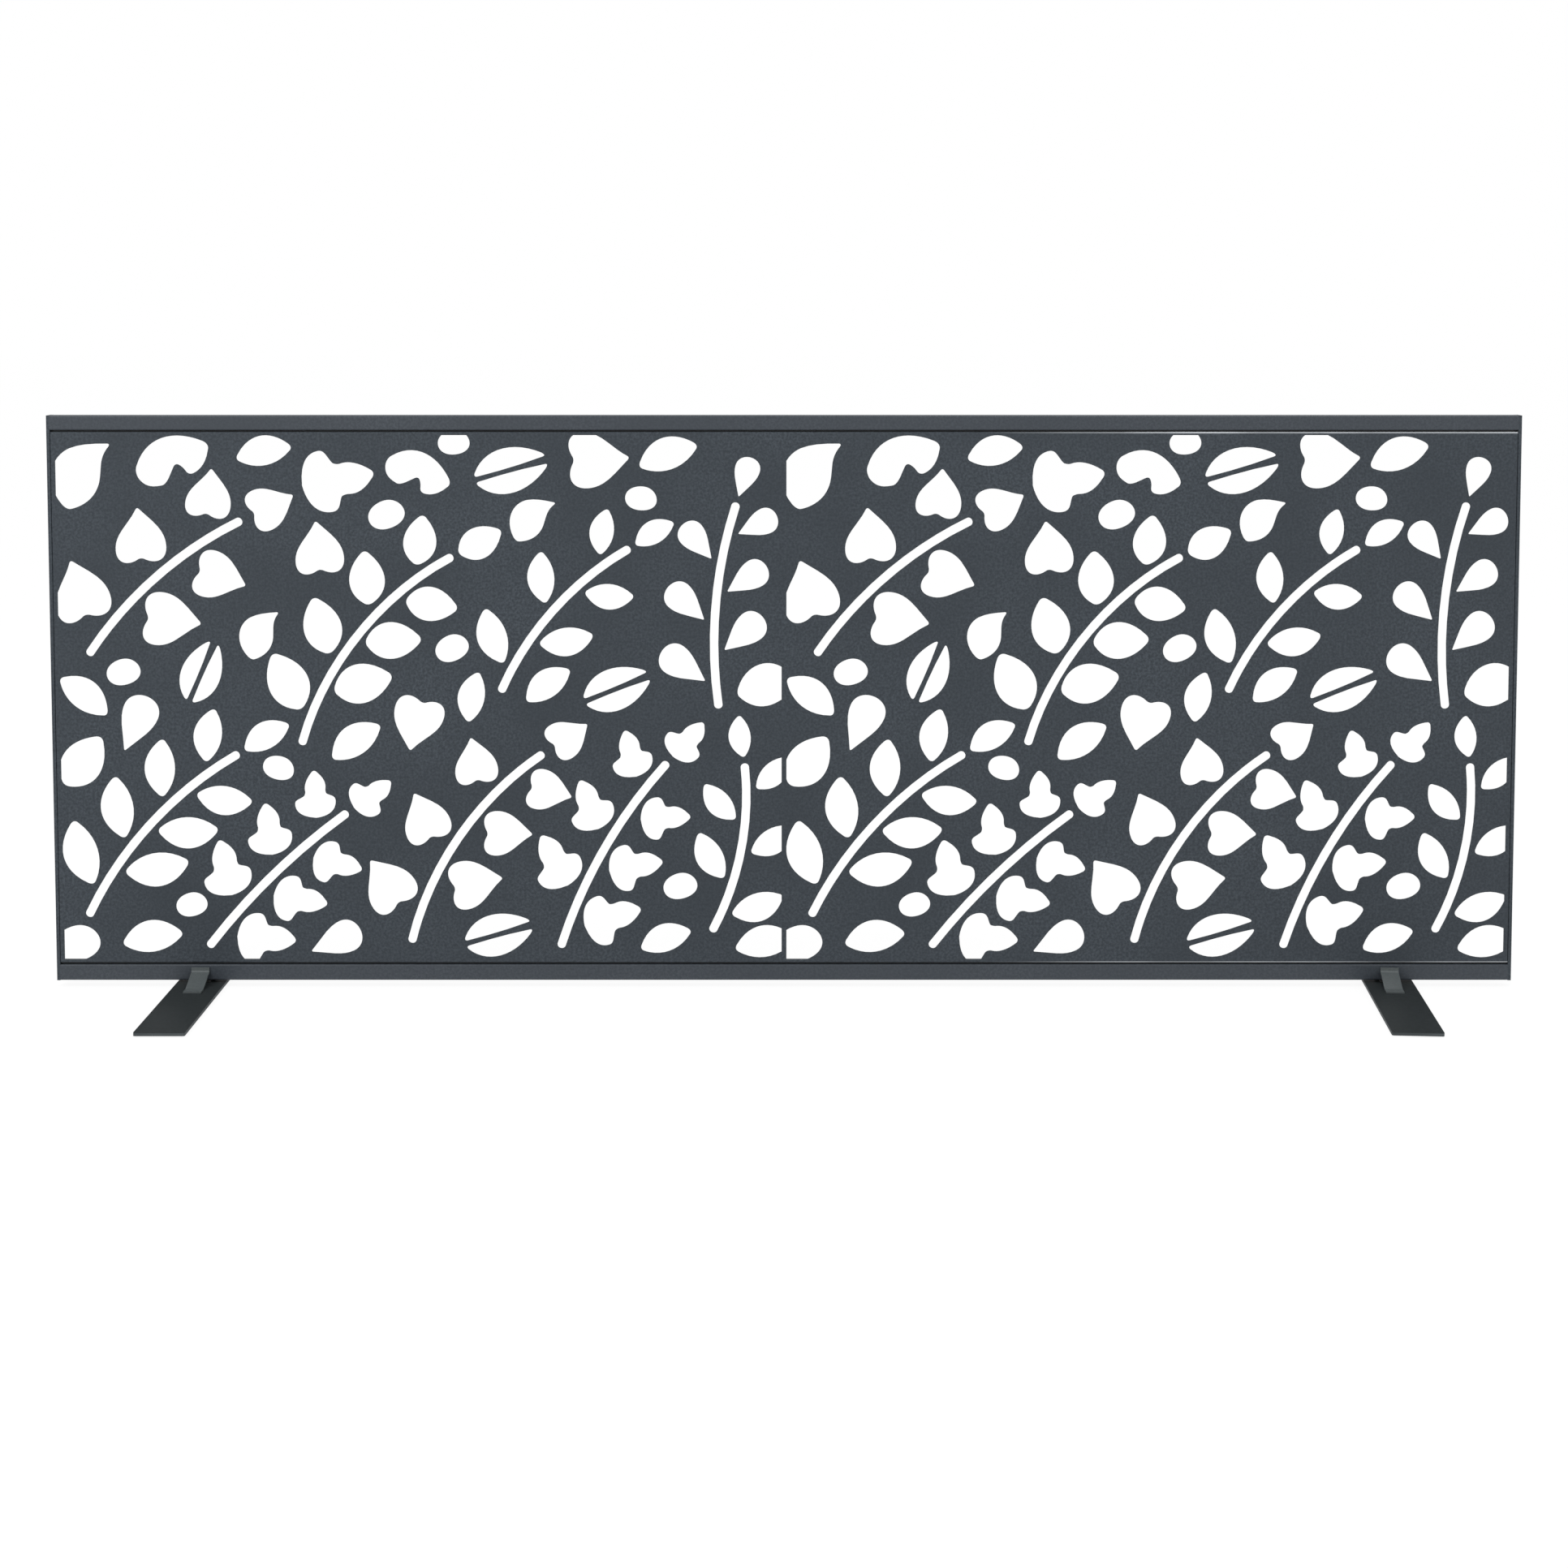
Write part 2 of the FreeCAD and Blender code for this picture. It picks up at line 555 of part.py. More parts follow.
def divide(curve, share):
    """The two parts of a cubic curve, before and after a share of it."""
    p, q, r, s = curve
    pq, qr, rs = between(p, q, share), between(q, r, share), between(r, s, share)
    pqr, qrs = between(pq, qr, share), between(qr, rs, share)
    middle = between(pqr, qrs, share)
    return (p, pq, pqr, middle), (middle, qrs, rs, s)


def is_corner(before, after):
    """True where an outline turns sharply from one curve to the next."""
    arriving = math.atan2(before[3][1] - before[2][1], before[3][0] - before[2][0])
    leaving = math.atan2(after[1][1] - after[0][1], after[1][0] - after[0][0])
    return abs(math.degrees(math.remainder(leaving - arriving, math.tau))) > CORNER_DEGREES


def soften(chain):
    """The outline with its sharp corners rounded."""
    count = len(chain)
    corners = [is_corner(chain[n], chain[(n + 1) % count]) for n in range(count)]
    trimmed = []
    for n, curve in enumerate(chain):
        share = min(MOST_ROUNDING_SHARE, ROUNDING_SHARE / math.dist(curve[0], curve[3]))
        if corners[n]:
            curve = divide(curve, 1 - share)[0]
        if corners[n - 1]:
            curve = divide(curve, share)[1]
        trimmed.append(curve)
    rounded = []
    for n, curve in enumerate(trimmed):
        rounded.append(curve)
        if corners[n]:
            corner = chain[n][3]
            end, start = curve[3], trimmed[(n + 1) % count][0]
            rounded.append((end, between(end, corner, CAP_SHARE), between(start, corner, CAP_SHARE), start))
    return rounded


def set_down(chain, foot, heading, length):
    """The outline scaled to its length, turned to its heading and moved so that its stalk is at foot."""
    c, s = step((0, 0), heading, length)
    return [tuple((foot[0] + x * c - y * s, foot[1] + x * s + y * c) for x, y in curve) for curve in chain]


def along_stem(root, heading, bend, length, share):
    """Point and heading a share of the way along an arc that turns by bend."""
    radius = length / math.radians(bend)
    centre = step(root, heading + 90, radius)
    reached = heading + bend * share
    return step(centre, reached - 90, radius), reached


def slot(root, heading, bend, length):
    """Curved slot of even width with round ends."""
    pieces = math.ceil(abs(bend) / SLOT_CURVE_DEGREES)
    banks = []
    for side in (1, -1):
        bank = []
        for n in range(pieces):
            start, away = along_stem(root, heading, bend, length, n / pieces)
            end, arriving = along_stem(root, heading, bend, length, (n + 1) / pieces)
            start = step(start, away + 90, side * STEM_WIDTH_SHARE / 2)
            end = step(end, arriving + 90, side * STEM_WIDTH_SHARE / 2)
            reach = math.dist(start, end) / 3
            bank.append((start, step(start, away, reach), step(end, arriving, -reach), end))
        banks.append(bank)
    left, right = banks
    bulge = STEM_WIDTH_SHARE * CAP_SHARE
    far, near = heading + bend, heading + 180
    far_cap = (left[-1][3], step(left[-1][3], far, bulge), step(right[-1][3], far, bulge), right[-1][3])
    near_cap = (right[0][0], step(right[0][0], near, bulge), step(left[0][0], near, bulge), left[0][0])
    return left + [far_cap] + [curve[::-1] for curve in right[::-1]] + [near_cap]


def spray(shape, x, y, heading, bend, length, leaf_length, count, opening, first_side):
    """Stem with leaves on alternate sides, smaller along it, and one leaf at its tip."""
    chain, stalk = SHAPE_SHARES[shape]
    root, beside_stem = (x, y), STEM_WIDTH_SHARE / 2 + BRIDGE_SHARE
    outlines = [slot(root, heading, bend, length)]
    for n in range(count):
        share = FIRST_LEAF_SHARE + (LAST_LEAF_SHARE - FIRST_LEAF_SHARE) * n / (count - 1)
        side = first_side * (-1) ** n
        size = leaf_length * (1 - (1 - LEAST_LEAF_SHARE) * share)
        point, direction = along_stem(root, heading, bend, length, share)
        foot = step(point, direction + 90 * side, beside_stem + stalk * size)
        outline = soften(chain if side > 0 else mirrored(chain))
        outlines.append(set_down(outline, foot, direction + side * opening, size))
    point, direction = along_stem(root, heading, bend, length, 1)
    foot = step(point, direction, beside_stem + TIP_STALK_SHARE * stalk * leaf_length)
    outlines.append(set_down(soften(chain), foot, direction, leaf_length * LEAST_LEAF_SHARE))
    return outlines


def free_leaf(shape, x, y, heading, length):
    """One leaf, or the two halves of one with a rib of metal between them."""
    if shape != "split":
        return [set_down(soften(SHAPE_SHARES[shape][0]), (x, y), heading, length)]
    half_rib = BRIDGE_SHARE / length / 2
    upper = [tuple((px, py + half_rib) for px, py in curve) for curve in HALF_LEAF_SHARES]
    return [set_down(soften(half), (x, y), heading, length) for half in (upper, mirrored(upper))]


def tile_outlines():
    """Every outline of one tile."""
    outlines = []
    for row in SPRAY_SHARES:
        outlines += spray(*row)
    for row in FREE_LEAF_SHARES:
        outlines += free_leaf(*row)
    return outlines


# The sheet: a shallow tray, open to the back, whose face carries the pattern twice
def rectangle(left, right, bottom, top, y):
    """Closed upright rectangle."""
    spots = ((left, bottom), (right, bottom), (right, top), (left, top), (left, bottom))
    return Part.makePolygon([Vector(x, y, z) for x, z in spots])


def cut_out_wires(left, right, bottom, top, y):
    """Outlines of one tile on the sheet, ended straight where they would cross the tile's edge."""
    tile = Part.Face(rectangle(left, right, bottom, top, y))
    wide, high = right - left, top - bottom
    wires = []
    for outline in tile_outlines():
        edges = []
        for curve in outline:
            bezier = Part.BezierCurve()
            bezier.setPoles([Vector(left + x / TILE_SPAN_SHARE * wide, y, bottom + z * high) for x, z in curve])
            edges.append(bezier.toShape())
        wire = Part.Wire(edges)
        space = wire.BoundBox
        if left < space.XMin and space.XMax < right and bottom < space.ZMin and space.ZMax < top:
            wires.append(wire)
        else:
            wires += [face.OuterWire for face in Part.Face(wire).common(tile).Faces]
    return wires


def rounded_block(left, right, front, back, bottom, top, radius):
    """Box whose four front edges are rounded."""
    block = Part.makeBox(right - left, back - front, top - bottom, Vector(left, front, bottom))
    return block.makeFillet(radius, [edge for edge in block.Edges if edge.BoundBox.YMax < front + radius])


def build_sheet():
    """Tray with rounded bends, its flanges drilled for the rivets and its face cut out."""
    wall, bend, overrun = value_of("sheet_thickness"), value_of("sheet_bend"), value_of("overrun")
    front, back = value_of("-frame_depth / 2"), value_of(SHEET_BACK)
    left, right = value_of(f"-{RAIL_LENGTH} / 2"), value_of(f"{RAIL_LENGTH} / 2")
    bottom, top = value_of(SHEET_BOTTOM), value_of(SHEET_TOP)
    outer = rounded_block(left, right, front, back, bottom, top, bend)
    inner = rounded_block(left + wall, right - wall, front + wall, back + overrun, bottom + wall, top - wall,
                          bend - wall)
    window = rectangle(left + bend, right - bend, bottom + bend, top - bend, front)
    opening = Part.Face(window).extrude(Vector(0, wall, 0))
    tray = outer.cut([inner, opening])

    side, edge, bridge = value_of("field_side_margin"), value_of("field_edge_margin"), value_of("tile_bridge / 2")
    wires = [window]
    for tile_left, tile_right in ((left + side, -bridge), (bridge, right - side)):
        wires += cut_out_wires(tile_left, tile_right, bottom + edge, top - edge, front)
    face = Part.makeFace(wires, "Part::FaceMakerBullseye").extrude(Vector(0, wall, 0))

    drills = []
    for x in RIVETS_ALONG:
        start = Vector(value_of(x), value_of(FLANGE_MIDDLE), bottom - overrun)
        drills.append(Part.makeCylinder(value_of("rivet_radius"), top - bottom + 2 * overrun, start))
    for z in RIVETS_UP:
        start = Vector(left - overrun, value_of(FLANGE_MIDDLE), value_of(z))
        length = right - left + 2 * overrun
        drills.append(Part.makeCylinder(value_of("rivet_radius"), length, start, Vector(1, 0, 0)))
    feature = doc.addObject("Part::Feature", "screen_sheet")
    feature.Shape = tray.cut(drills).fuse(face).removeSplitter().Solids[0]
    feature.Placement = FreeCAD.Placement()
    return feature


# Feet, built about their own middle on the floor and then placed along the panel
FOOT_TURNS = {"left": "0", "right": "right_foot_turn"}
FOOT_PLACES = {"left": "(left_foot_inset - panel_width / 2)", "right": "(panel_width / 2 - right_foot_inset)"}
FOOT_SIDES = (("front", -1), ("rear", 1))
CLIP_RUN = "((clip_height - clip_tip - clip_thickness) * tan(clip_lean))"


def clip_inside(side):
    """Formula for the distance from a foot's middle to its clips' tips; a turned foot's clips are sprung apart."""
    turn = FOOT_TURNS[side]
    return f"((frame_depth / 2 + clip_clearance + clip_width / 2 * sin({turn})) / cos({turn}))"


def clip_screw_places(side, sign):
    """Places of one clip's two screws."""
    out = f"{sign} * ({clip_inside(side)} + clip_thickness + {CLIP_RUN} + clip_toe / 2)"
    return [("-clip_screw_spacing / 2", out), ("clip_screw_spacing / 2", out)]


def stand(thing, side, level="0"):
    """Place a foot's piece along the panel, turned with its foot."""
    place(thing, FOOT_PLACES[side], z=level)
    bind(thing, Placement__Rotation__Angle=f"-{FOOT_TURNS[side]}")
    return thing


def drill_for_screws(body, places, depth):
    """Holes for the clip screws, upwards from the body's underside."""
    volume = body.Shape.Volume
    holes = new_sketch(body, f"{body.Name}_holes", "XY_Plane")
    draw_circles(holes, "clip_screw_radius", places)
    drill = body.newObject("PartDesign::Pocket", f"{body.Name}_drilled")
    drill.Profile = holes
    drill.Reversed = True
    bind(drill, Length=depth)
    doc.recompute()
    check_holes(body, volume, "clip_screw_radius", depth, len(places))


def build_base_plate(side):
    """Flat plate with screw holes that are sunk from below."""
    body = new_body(f"{side}_base_plate")
    outline = new_sketch(body, f"{side}_plate_outline", "XY_Plane")
    left, right = "-foot_width / 2", "foot_width / 2"
    draw_polygon(outline, ((left, "-foot_front"), (right, "-foot_front"), (right, "foot_rear"), (left, "foot_rear")))
    pad(body, outline, "foot_thickness", symmetric=False)
    dress_edges(body, "Fillet", f"{side}_plate_corners", lambda edge: is_straight_along(edge, Vector(0, 0, 1)),
                Radius="foot_corner")
    places = clip_screw_places(side, -1) + clip_screw_places(side, 1)
    drill_for_screws(body, places, "foot_thickness")
    dress_edges(body, "Chamfer", f"{side}_plate_sinks",
                lambda edge: isinstance(edge.Curve, Part.Circle) and edge.isClosed() and edge.BoundBox.ZMax < NEAR,
                Size="clip_screw_head_radius - clip_screw_radius")
    return stand(body, side, "floor_pad_thickness")


def build_clip(side, end, sign):
    """Bent strap: upright tip beside the rail, slope, and flat toe on the plate with blind screw holes."""
    inner = clip_inside(side)
    outer = f"({inner} + clip_thickness)"
    knee = "(clip_height - clip_tip)"
    heel = f"({outer} + {CLIP_RUN})"
    toe = f"({heel} + clip_toe)"
    corners = (
        (inner, "clip_height"),
        (outer, "clip_height"),
        (outer, knee),
        (heel, "clip_thickness"),
        (toe, "clip_thickness"),
        (toe, "0"),
        (f"({heel} - clip_thickness * tan((90 - clip_lean) / 2))", "0"),
        (inner, f"({knee} - clip_thickness * tan(clip_lean / 2))"),
    )
    body = new_body(f"{side}_{end}_clip")
    profile = new_sketch(body, f"{side}_{end}_clip_profile", "YZ_Plane")
    draw_polygon(profile, [(f"{sign} * {across}", up) for across, up in corners])
    pad(body, profile, "clip_width")

    def at_corners(*numbers):
        """Test for an edge across the strap at one of the profile's corners."""
        spots = [(sign * value_of(corners[n][0]), value_of(corners[n][1])) for n in numbers]
        return lambda edge: is_straight_along(edge, Vector(1, 0, 0)) and any(
            math.dist((edge.CenterOfMass.y, edge.CenterOfMass.z), spot) < NEAR for spot in spots)

    dress_edges(body, "Fillet", f"{side}_{end}_clip_inner_bends", at_corners(2, 3), Radius="clip_bend")
    dress_edges(body, "Fillet", f"{side}_{end}_clip_outer_bends", at_corners(6, 7),
                Radius="clip_bend + clip_thickness")
    drill_for_screws(body, clip_screw_places(side, sign), "(clip_thickness - clip_screw_recess)")
    return stand(body, side, PLATE_TOP)


def build_seat_pad(side):
    """Pad between plate and rail."""
    pads = [box(f"{side}_seat", "seat_pad_width", "frame_depth", "seat_pad_thickness", z=PLATE_TOP)]
    return stand(group(f"{side}_seat_pad", pads), side)


def build_floor_pads(side):
    """Pads under the plate's front and rear ends."""
    pads = []
    for end, sign in FOOT_SIDES:
        middle = f"{sign} * (foot_{end} - floor_pad_length / 2 - floor_pad_margin)"
        pads.append(box(f"{side}_{end}_pad", "(foot_width - 2 * floor_pad_margin)", "floor_pad_length",
                        "floor_pad_thickness", y=middle))
    return stand(group(f"{side}_floor_pads", pads), side)


def build_clip_screws(side):
    """Four countersunk screws from below through the plate into blind holes in the clips' toes."""
    length = "(foot_thickness + clip_thickness - clip_screw_recess)"
    screws = []
    for end, sign in FOOT_SIDES:
        for n, (x, y) in enumerate(clip_screw_places(side, sign), start=1):
            name = f"{side}_{end}_screw_{n}"
            shank = rod(f"{name}_shank", "clip_screw_radius", length, UPWARDS, x, y, "floor_pad_thickness")
            head = taper(f"{name}_head", "clip_screw_head_radius", "clip_screw_radius",
                         "clip_screw_head_radius - clip_screw_radius", UPWARDS, x, y, "floor_pad_thickness")
            screws.append(joined(name, [shank, head]))
    return stand(group(f"{side}_clip_screws", screws), side)


pieces = [build_sheet()]
for end in ENDS:
    pieces += [build_rail(end), build_rail_plugs(end), build_strip(end), build_rail_rivets(end)]
for side, sign in SIDES:
    pieces += [build_side_bar(side, sign), build_frame_screws(side, sign), build_side_rivets(side, sign)]
    pieces += [build_base_plate(side), build_seat_pad(side), build_floor_pads(side), build_clip_screws(side)]
    pieces += [build_clip(side, end, sign) for end, sign in FOOT_SIDES]
for piece in pieces:
    bind(piece, Placement__Base__y=SET_BACK)
doc.recompute()

for thing in doc.Objects:
    if "Invalid" in thing.State or "Error" in thing.State:
        raise ValueError(f"{thing.Name}: {thing.State}")

os.makedirs("parts", exist_ok=True)
for piece in pieces:
    if piece.Shape.isNull() or not piece.Shape.isValid():
        raise ValueError(f"{piece.Name}: bad shape")
    piece.Shape.exportStep(f"parts/{piece.Label}.step")
    print(piece.Label, len(piece.Shape.Solids), round(piece.Shape.Volume), piece.Shape.BoundBox)
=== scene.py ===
"""Looks of a low free-standing screen: a foliage cut-out sheet in a slim frame, on two clip-on flat feet.

Lengths are in millimetres up to the moment a mesh is made, and the frame is the solid model's: X along the
panel, -Y to the front, Z up. Places come from the solids' boxes, so the pieces follow the solids.
"""

import json
import logging
import math
from dataclasses import dataclass, replace
from enum import Enum

import bmesh
import bpy
import numpy as np
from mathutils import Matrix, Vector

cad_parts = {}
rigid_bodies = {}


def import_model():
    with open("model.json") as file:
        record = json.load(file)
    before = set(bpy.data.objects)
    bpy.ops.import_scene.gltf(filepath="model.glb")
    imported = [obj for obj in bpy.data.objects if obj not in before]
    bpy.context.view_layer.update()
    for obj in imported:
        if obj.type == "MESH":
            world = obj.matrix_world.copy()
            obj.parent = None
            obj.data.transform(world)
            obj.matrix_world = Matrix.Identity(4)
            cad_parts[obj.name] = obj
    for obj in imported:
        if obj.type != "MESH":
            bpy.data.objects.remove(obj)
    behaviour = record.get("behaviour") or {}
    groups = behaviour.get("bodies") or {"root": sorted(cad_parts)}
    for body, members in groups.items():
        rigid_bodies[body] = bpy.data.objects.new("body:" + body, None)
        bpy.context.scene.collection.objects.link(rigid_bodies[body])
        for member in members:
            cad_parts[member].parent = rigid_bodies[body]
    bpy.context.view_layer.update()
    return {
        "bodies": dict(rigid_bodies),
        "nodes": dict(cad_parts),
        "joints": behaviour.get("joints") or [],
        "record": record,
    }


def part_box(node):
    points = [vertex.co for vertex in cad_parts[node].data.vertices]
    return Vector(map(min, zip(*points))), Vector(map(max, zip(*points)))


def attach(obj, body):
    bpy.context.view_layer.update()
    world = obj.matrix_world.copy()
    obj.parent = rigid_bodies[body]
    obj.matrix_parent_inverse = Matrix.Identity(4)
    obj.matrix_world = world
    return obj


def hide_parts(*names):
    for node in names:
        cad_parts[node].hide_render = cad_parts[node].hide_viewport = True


LOG = logging.getLogger("screen")
MM = 0.001
Colour = tuple[float, float, float, float]
# A shape is its points and its faces. A pair is any other two arrays that belong together.
Shape = tuple[np.ndarray, np.ndarray]
Pair = tuple[np.ndarray, np.ndarray]
# Farther than any point of the object lies from the origin.
FAR = 1000.0


class Side(Enum):
    """The left or right end of the panel, as the nodes name it."""

    LEFT = "left"
    RIGHT = "right"


class End(Enum):
    """The lower or upper end of the panel, as the nodes name it."""

    BOTTOM = "bottom"
    TOP = "top"


class Face(Enum):
    """The front or rear face of the rail, as the clips' nodes name it."""

    FRONT = "front"
    REAR = "rear"


class Way(Enum):
    """The direction in which a turned piece's own +Z comes to lie."""

    PLUS_X = "+x"
    MINUS_X = "-x"
    UP = "+z"
    DOWN = "-z"


# Colour and nodes
def srgb(code: str) -> Colour:
    """Turn an sRGB hex code into a linear colour.

    Args:
        code: Six hex digits after a hash sign.

    Returns:
        Linear red, green, blue and an alpha of 1.
    """
    parts = np.array([int(code[n:n + 2], 16) for n in (1, 3, 5)]) / 255.0
    linear = np.where(parts <= 0.04045, parts / 12.92, ((parts + 0.055) / 1.055) ** 2.4)
    return (*(float(part) for part in linear), 1.0)


def add_node(tree: bpy.types.NodeTree, kind: str, inputs: dict | None = None,
             **settings: object) -> bpy.types.Node:
    """Add a node, set it up and link it.

    Args:
        tree: Node tree that gets the node.
        kind: Blender's name of the node type.
        inputs: Input name or number to a constant or to the socket that feeds it.
        settings: Attributes of the node itself.

    Returns:
        The new node.
    """
    node = tree.nodes.new(kind)
    for name, value in settings.items():
        setattr(node, name, value)
    for key, value in (inputs or {}).items():
        if isinstance(value, bpy.types.NodeSocket):
            tree.links.new(value, node.inputs[key])
        else:
            node.inputs[key].default_value = value
    return node


def per_metre(size_mm: float) -> float:
    """Noise scale whose features are about size_mm across on Object coordinates."""
    return 1.0 / (size_mm * MM)


# Finishes
# How every finish spreads its noise: detail and roughness of the grain, the part of its range that shows as
# specks, detail and range of the slow noise, the share of specks that it lets through, and the bump.
GRAIN_DETAIL = 3.0
GRAIN_ROUGHNESS = 0.55
SPECK_RANGE = (0.38, 0.66)
CLOUD_DETAIL = 2.0
CLOUD_RANGE = (0.3, 0.7)
SPECK_SHARE = (0.25, 0.75)
BUMP_STRENGTH = 0.6


@dataclass(frozen=True)
class PaintedLight:
    """Painted light, a paler coat: past two levels, in front of a depth, growing along the panel, and uneven.

    Attributes:
        shade: Colour of the painted light as an sRGB hex code.
        levels: Heights below and above which it is painted.
        depth: Place along Y in front of which it is painted.
        along: Places along X where it starts and where it is full.
        fade: Height over which it sets in past a level.
        patches: Range of the slow noise over which it grows from its least share to all of it.
        least: Its least share.
    """

    shade: str
    levels: tuple[float, float]
    depth: float = FAR
    along: tuple[float, float] = (-FAR, -0.9 * FAR)
    fade: float = 0.5
    patches: tuple[float, float] = (0.35, 0.6)
    least: float = 0.45

    def share(self, tree: bpy.types.NodeTree, place: bpy.types.Node,
              cloud: bpy.types.Node) -> bpy.types.NodeSocket:
        """Build the share of painted light, which is the product of its four conditions.

        Args:
            tree: Node tree of the material.
            place: Its texture coordinates.
            cloud: Its slow noise.

        Returns:
            Socket of the share.
        """
        middle, half = sum(self.levels) / 2, (self.levels[1] - self.levels[0]) / 2
        at = add_node(tree, "ShaderNodeSeparateXYZ", {0: place.outputs["Object"]})
        above = add_node(tree, "ShaderNodeMath", {0: at.outputs["Z"], 1: middle * MM}, operation="SUBTRACT")
        away = add_node(tree, "ShaderNodeMath", {0: above.outputs[0]}, operation="ABSOLUTE")
        past = add_node(tree, "ShaderNodeMapRange", {
            "Value": away.outputs[0], "From Min": half * MM, "From Max": (half + self.fade) * MM})
        along = add_node(tree, "ShaderNodeMapRange", {
            "Value": at.outputs["X"], "From Min": self.along[0] * MM, "From Max": self.along[1] * MM})
        uneven = add_node(tree, "ShaderNodeMapRange", {
            "Value": cloud.outputs["Fac"], "From Min": self.patches[0], "From Max": self.patches[1],
            "To Min": self.least})
        front = add_node(tree, "ShaderNodeMath", {
            0: at.outputs["Y"], 1: self.depth * MM}, operation="LESS_THAN")
        share = past.outputs[0]
        for condition in (front, along, uneven):
            share = add_node(tree, "ShaderNodeMath", {
                0: share, 1: condition.outputs[0]}, operation="MULTIPLY").outputs[0]
        return share


@dataclass(frozen=True)
class Finish:
    """A surface finish: two close shades mixed by its own grain, with bump and uneven gloss.

    Attributes:
        name: Material name, after the real process.
        shade: Main colour as an sRGB hex code.
        other_shade: Colour of the raised or abraded specks.
        grain_mm: Size of the specks and of the bump.
        grain_height_mm: Depth of the bump.
        cloud_mm: Size of the slow drift in shade and gloss.
        cloud: Strength of that drift in roughness.
        roughness: Middle roughness.
        metallic: 1 for bare metal.
        specular: Specular level, 0.5 for a clear lacquer and less for a dry or toothed skin.
        stretch: Grain scale along X, Y and Z, to draw it out along a piece.
        painted_light: Where a paler shade is painted on as light, or none.
    """

    name: str
    shade: str
    other_shade: str
    grain_mm: float
    grain_height_mm: float
    cloud_mm: float
    cloud: float
    roughness: float
    metallic: float = 0.0
    specular: float = 0.5
    stretch: tuple[float, float, float] = (1.0, 1.0, 1.0)
    painted_light: PaintedLight | None = None

    def material(self) -> bpy.types.Material:
        """Build the node material once and return it afterwards.

        Returns:
            The material with this finish's name.
        """
        made = bpy.data.materials.get(self.name)
        if made:
            return made
        made = bpy.data.materials.new(self.name)
        made.use_nodes = True
        tree = made.node_tree
        tree.nodes.clear()
        place = add_node(tree, "ShaderNodeTexCoord")
        scaled = add_node(tree, "ShaderNodeMapping", {
            "Vector": place.outputs["Object"], "Scale": self.stretch})
        grain = add_node(tree, "ShaderNodeTexNoise", {
            "Vector": scaled.outputs[0], "Scale": per_metre(self.grain_mm), "Detail": GRAIN_DETAIL,
            "Roughness": GRAIN_ROUGHNESS})
        cloud = add_node(tree, "ShaderNodeTexNoise", {
            "Vector": place.outputs["Object"], "Scale": per_metre(self.cloud_mm), "Detail": CLOUD_DETAIL})
        specks = add_node(tree, "ShaderNodeMapRange", {
            "Value": grain.outputs["Fac"], "From Min": SPECK_RANGE[0], "From Max": SPECK_RANGE[1]})
        drift = add_node(tree, "ShaderNodeMapRange", {
            "Value": cloud.outputs["Fac"], "From Min": CLOUD_RANGE[0], "From Max": CLOUD_RANGE[1],
            "To Min": SPECK_SHARE[0], "To Max": SPECK_SHARE[1]})
        both = add_node(tree, "ShaderNodeMath", {
            0: specks.outputs[0], 1: drift.outputs[0]}, operation="MULTIPLY")
        shade = add_node(tree, "ShaderNodeMix", {
            0: both.outputs[0], 6: srgb(self.shade), 7: srgb(self.other_shade)}, data_type="RGBA")
        # Painted light: mix in a paler shade where its share says.
        if self.painted_light:
            lit_share = self.painted_light.share(tree, place, cloud)
            shade = add_node(tree, "ShaderNodeMix", {
                0: lit_share, 6: shade.outputs[2], 7: srgb(self.painted_light.shade)}, data_type="RGBA")
        gloss = add_node(tree, "ShaderNodeMapRange", {
            "Value": drift.outputs[0], "To Min": self.roughness - self.cloud,
            "To Max": self.roughness + self.cloud})
        bump = add_node(tree, "ShaderNodeBump", {
            "Height": grain.outputs["Fac"], "Strength": BUMP_STRENGTH,
            "Distance": self.grain_height_mm * MM})
        shader = add_node(tree, "ShaderNodeBsdfPrincipled", {
            "Base Color": shade.outputs[2], "Roughness": gloss.outputs[0], "Metallic": self.metallic,
            "Specular IOR Level": self.specular, "Normal": bump.outputs[0]})
        add_node(tree, "ShaderNodeOutputMaterial", {"Surface": shader.outputs[0]})
        return made


# Polyester powder baked on zinc-plated steel, fine-texture grade: matt, cool anthracite, with a dry leathery
# tooth. The real tooth is about 0.5 mm; it is drawn at 3 mm so that it shows from a few steps away.
SHEET_COAT = Finish("fine_texture_powder_coat", "#31373D", "#4B5259", 3.0, 0.14, 120.0, 0.05, 0.58,
                    specular=0.25)
# Painted highlight on the sheet's bends: a pale shade that draws a thin light line beside a groove.
PAINTED_HIGHLIGHT_SHADE = "#BCC0C4"
# The same powder on the flat side bars, which get no painted highlight.
BAR_COAT = replace(SHEET_COAT, name="fine_texture_powder_coat_on_bar")
# The same powder on the drawn tube: it flows out smoother over the even wall and shows more of the light.
RAIL_COAT = Finish("fine_texture_powder_coat_on_tube", "#32383F", "#454B52", 3.0, 0.10, 180.0, 0.05, 0.46,
                   specular=0.4)
# Smooth powder on flat steel: near-black grey with a slight orange peel.
FOOT_COAT = Finish("smooth_powder_coat", "#2E3233", "#34383A", 6.0, 0.05, 90.0, 0.04, 0.42, specular=0.02)
# Painted light on the plates' sheared edges: a paler shade for the light that the upright edges catch.
PAINTED_EDGE_LIGHT_SHADE = "#565B5D"
# The same powder on the narrow bent strap, lighter all over: painted light for what its sloped face catches.
CLIP_COAT = Finish("smooth_powder_coat_on_strap", "#505657", "#5B6162", 3.0, 0.05, 30.0, 0.05, 0.40,
                   specular=0.4)
# Black zinc plating on steel screws: dark metal, slightly iridescent grey where it is handled.
BLACK_ZINC = Finish("black_zinc_plating", "#2E2F31", "#45474B", 1.2, 0.02, 12.0, 0.06, 0.36, metallic=1.0)
